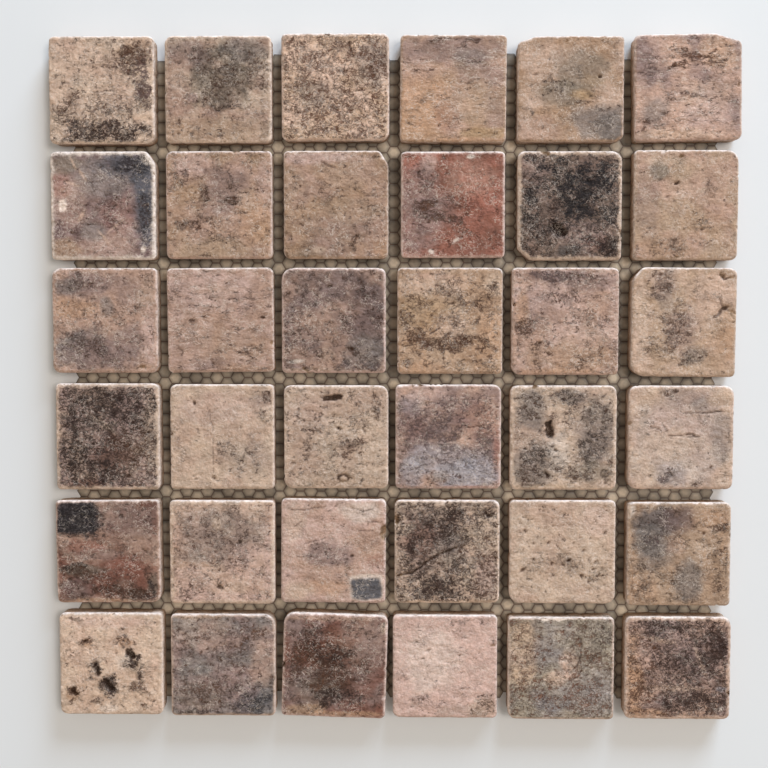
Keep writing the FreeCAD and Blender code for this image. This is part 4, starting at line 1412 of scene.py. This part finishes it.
# Surroundings
def add_floor():
    half = FLOOR_HALF_SIDE
    corners = [(-half, -half, 0), (half, -half, 0), (half, half, 0), (-half, half, 0)]
    mesh = bpy.data.meshes.new("floor")
    mesh.from_pydata(corners, [], [(0, 1, 2, 3)])
    material = new_material("floor_paint")
    finish_shader(material.node_tree, (0.80, 0.80, 0.80, 1.0), Roughness=0.8)
    mesh.materials.append(material)
    floor = bpy.data.objects.new("floor", mesh)
    bpy.context.scene.collection.objects.link(floor)


def add_lamp(name, place, size, strength, colour):
    """Square lamp that shines at the middle of the sheet."""
    lamp = bpy.data.lights.new(name, "AREA")
    lamp.shape = "SQUARE"
    lamp.size = size
    lamp.energy = strength
    lamp.color = colour
    holder = bpy.data.objects.new(name, lamp)
    holder.location = place
    holder.rotation_mode = "QUATERNION"
    holder.rotation_quaternion = (-Vector(place)).to_track_quat("-Z", "Y")
    bpy.context.scene.collection.objects.link(holder)


def add_light():
    """Warm daylight from all round, a cool low window behind row 1 and a lamp above."""
    world = bpy.data.worlds.new("daylight")
    world.use_nodes = True
    background = world.node_tree.nodes["Background"]
    background.inputs["Color"].default_value = (1.0, 0.94, 0.85, 1.0)
    background.inputs["Strength"].default_value = 0.42
    bpy.context.scene.world = world
    add_lamp("window", (0.95, 2.35, 0.92), 1.2, 82.0, (0.66, 0.82, 1.0))
    add_lamp("skylight", (1.05, 0.35, 2.4), 0.8, 23.0, (1.0, 0.95, 0.9))


def add_camera():
    camera = bpy.data.cameras.new("camera")
    camera.sensor_width = 36.0
    camera.lens = LENS
    camera.clip_start = 0.01
    holder = bpy.data.objects.new("camera", camera)
    place = Vector(CAMERA_PLACE)
    forward = (Vector(CAMERA_AIM) - place).normalized()
    right = forward.cross(Vector((0, 1, 0))).normalized()
    axes = Matrix((right, right.cross(forward), -forward)).transposed()
    holder.location = place
    holder.rotation_mode = "QUATERNION"
    holder.rotation_quaternion = axes.to_quaternion()
    bpy.context.scene.collection.objects.link(holder)
    bpy.context.scene.camera = holder


def add_tiles(frame):
    materials = {}
    for (row, column), style in LOOKS.items():
        node_name = f"tile_row{row}_column{column}"
        node = frame["nodes"][node_name]
        slot = node.material_slots[0].material.name
        kind = "drawn" if style.grain > DRAWN_FROM else "even"
        material_name = f"{kind}_{slot}"
        if material_name not in materials:
            materials[material_name] = clay_material(material_name, GRAINS[kind])
        material = materials[material_name]
        points, faces, clay, stain = tile_mesh(node, style, row, column)
        piece = add_piece(f"worn_tile_r{row}_c{column}", points, faces, node_name, material)
        paint(piece.data, "clay", clay)
        paint(piece.data, "stain", stain)


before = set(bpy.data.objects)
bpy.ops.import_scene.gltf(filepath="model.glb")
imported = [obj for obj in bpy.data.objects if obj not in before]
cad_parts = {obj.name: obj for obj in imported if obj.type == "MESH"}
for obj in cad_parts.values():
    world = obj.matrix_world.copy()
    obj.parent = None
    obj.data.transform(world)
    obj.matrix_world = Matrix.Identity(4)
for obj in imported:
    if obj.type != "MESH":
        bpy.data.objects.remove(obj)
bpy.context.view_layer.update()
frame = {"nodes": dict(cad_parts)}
bpy.context.scene.view_settings.view_transform = "Standard"
add_camera()
add_light()
add_floor()
add_tiles(frame)
add_net()
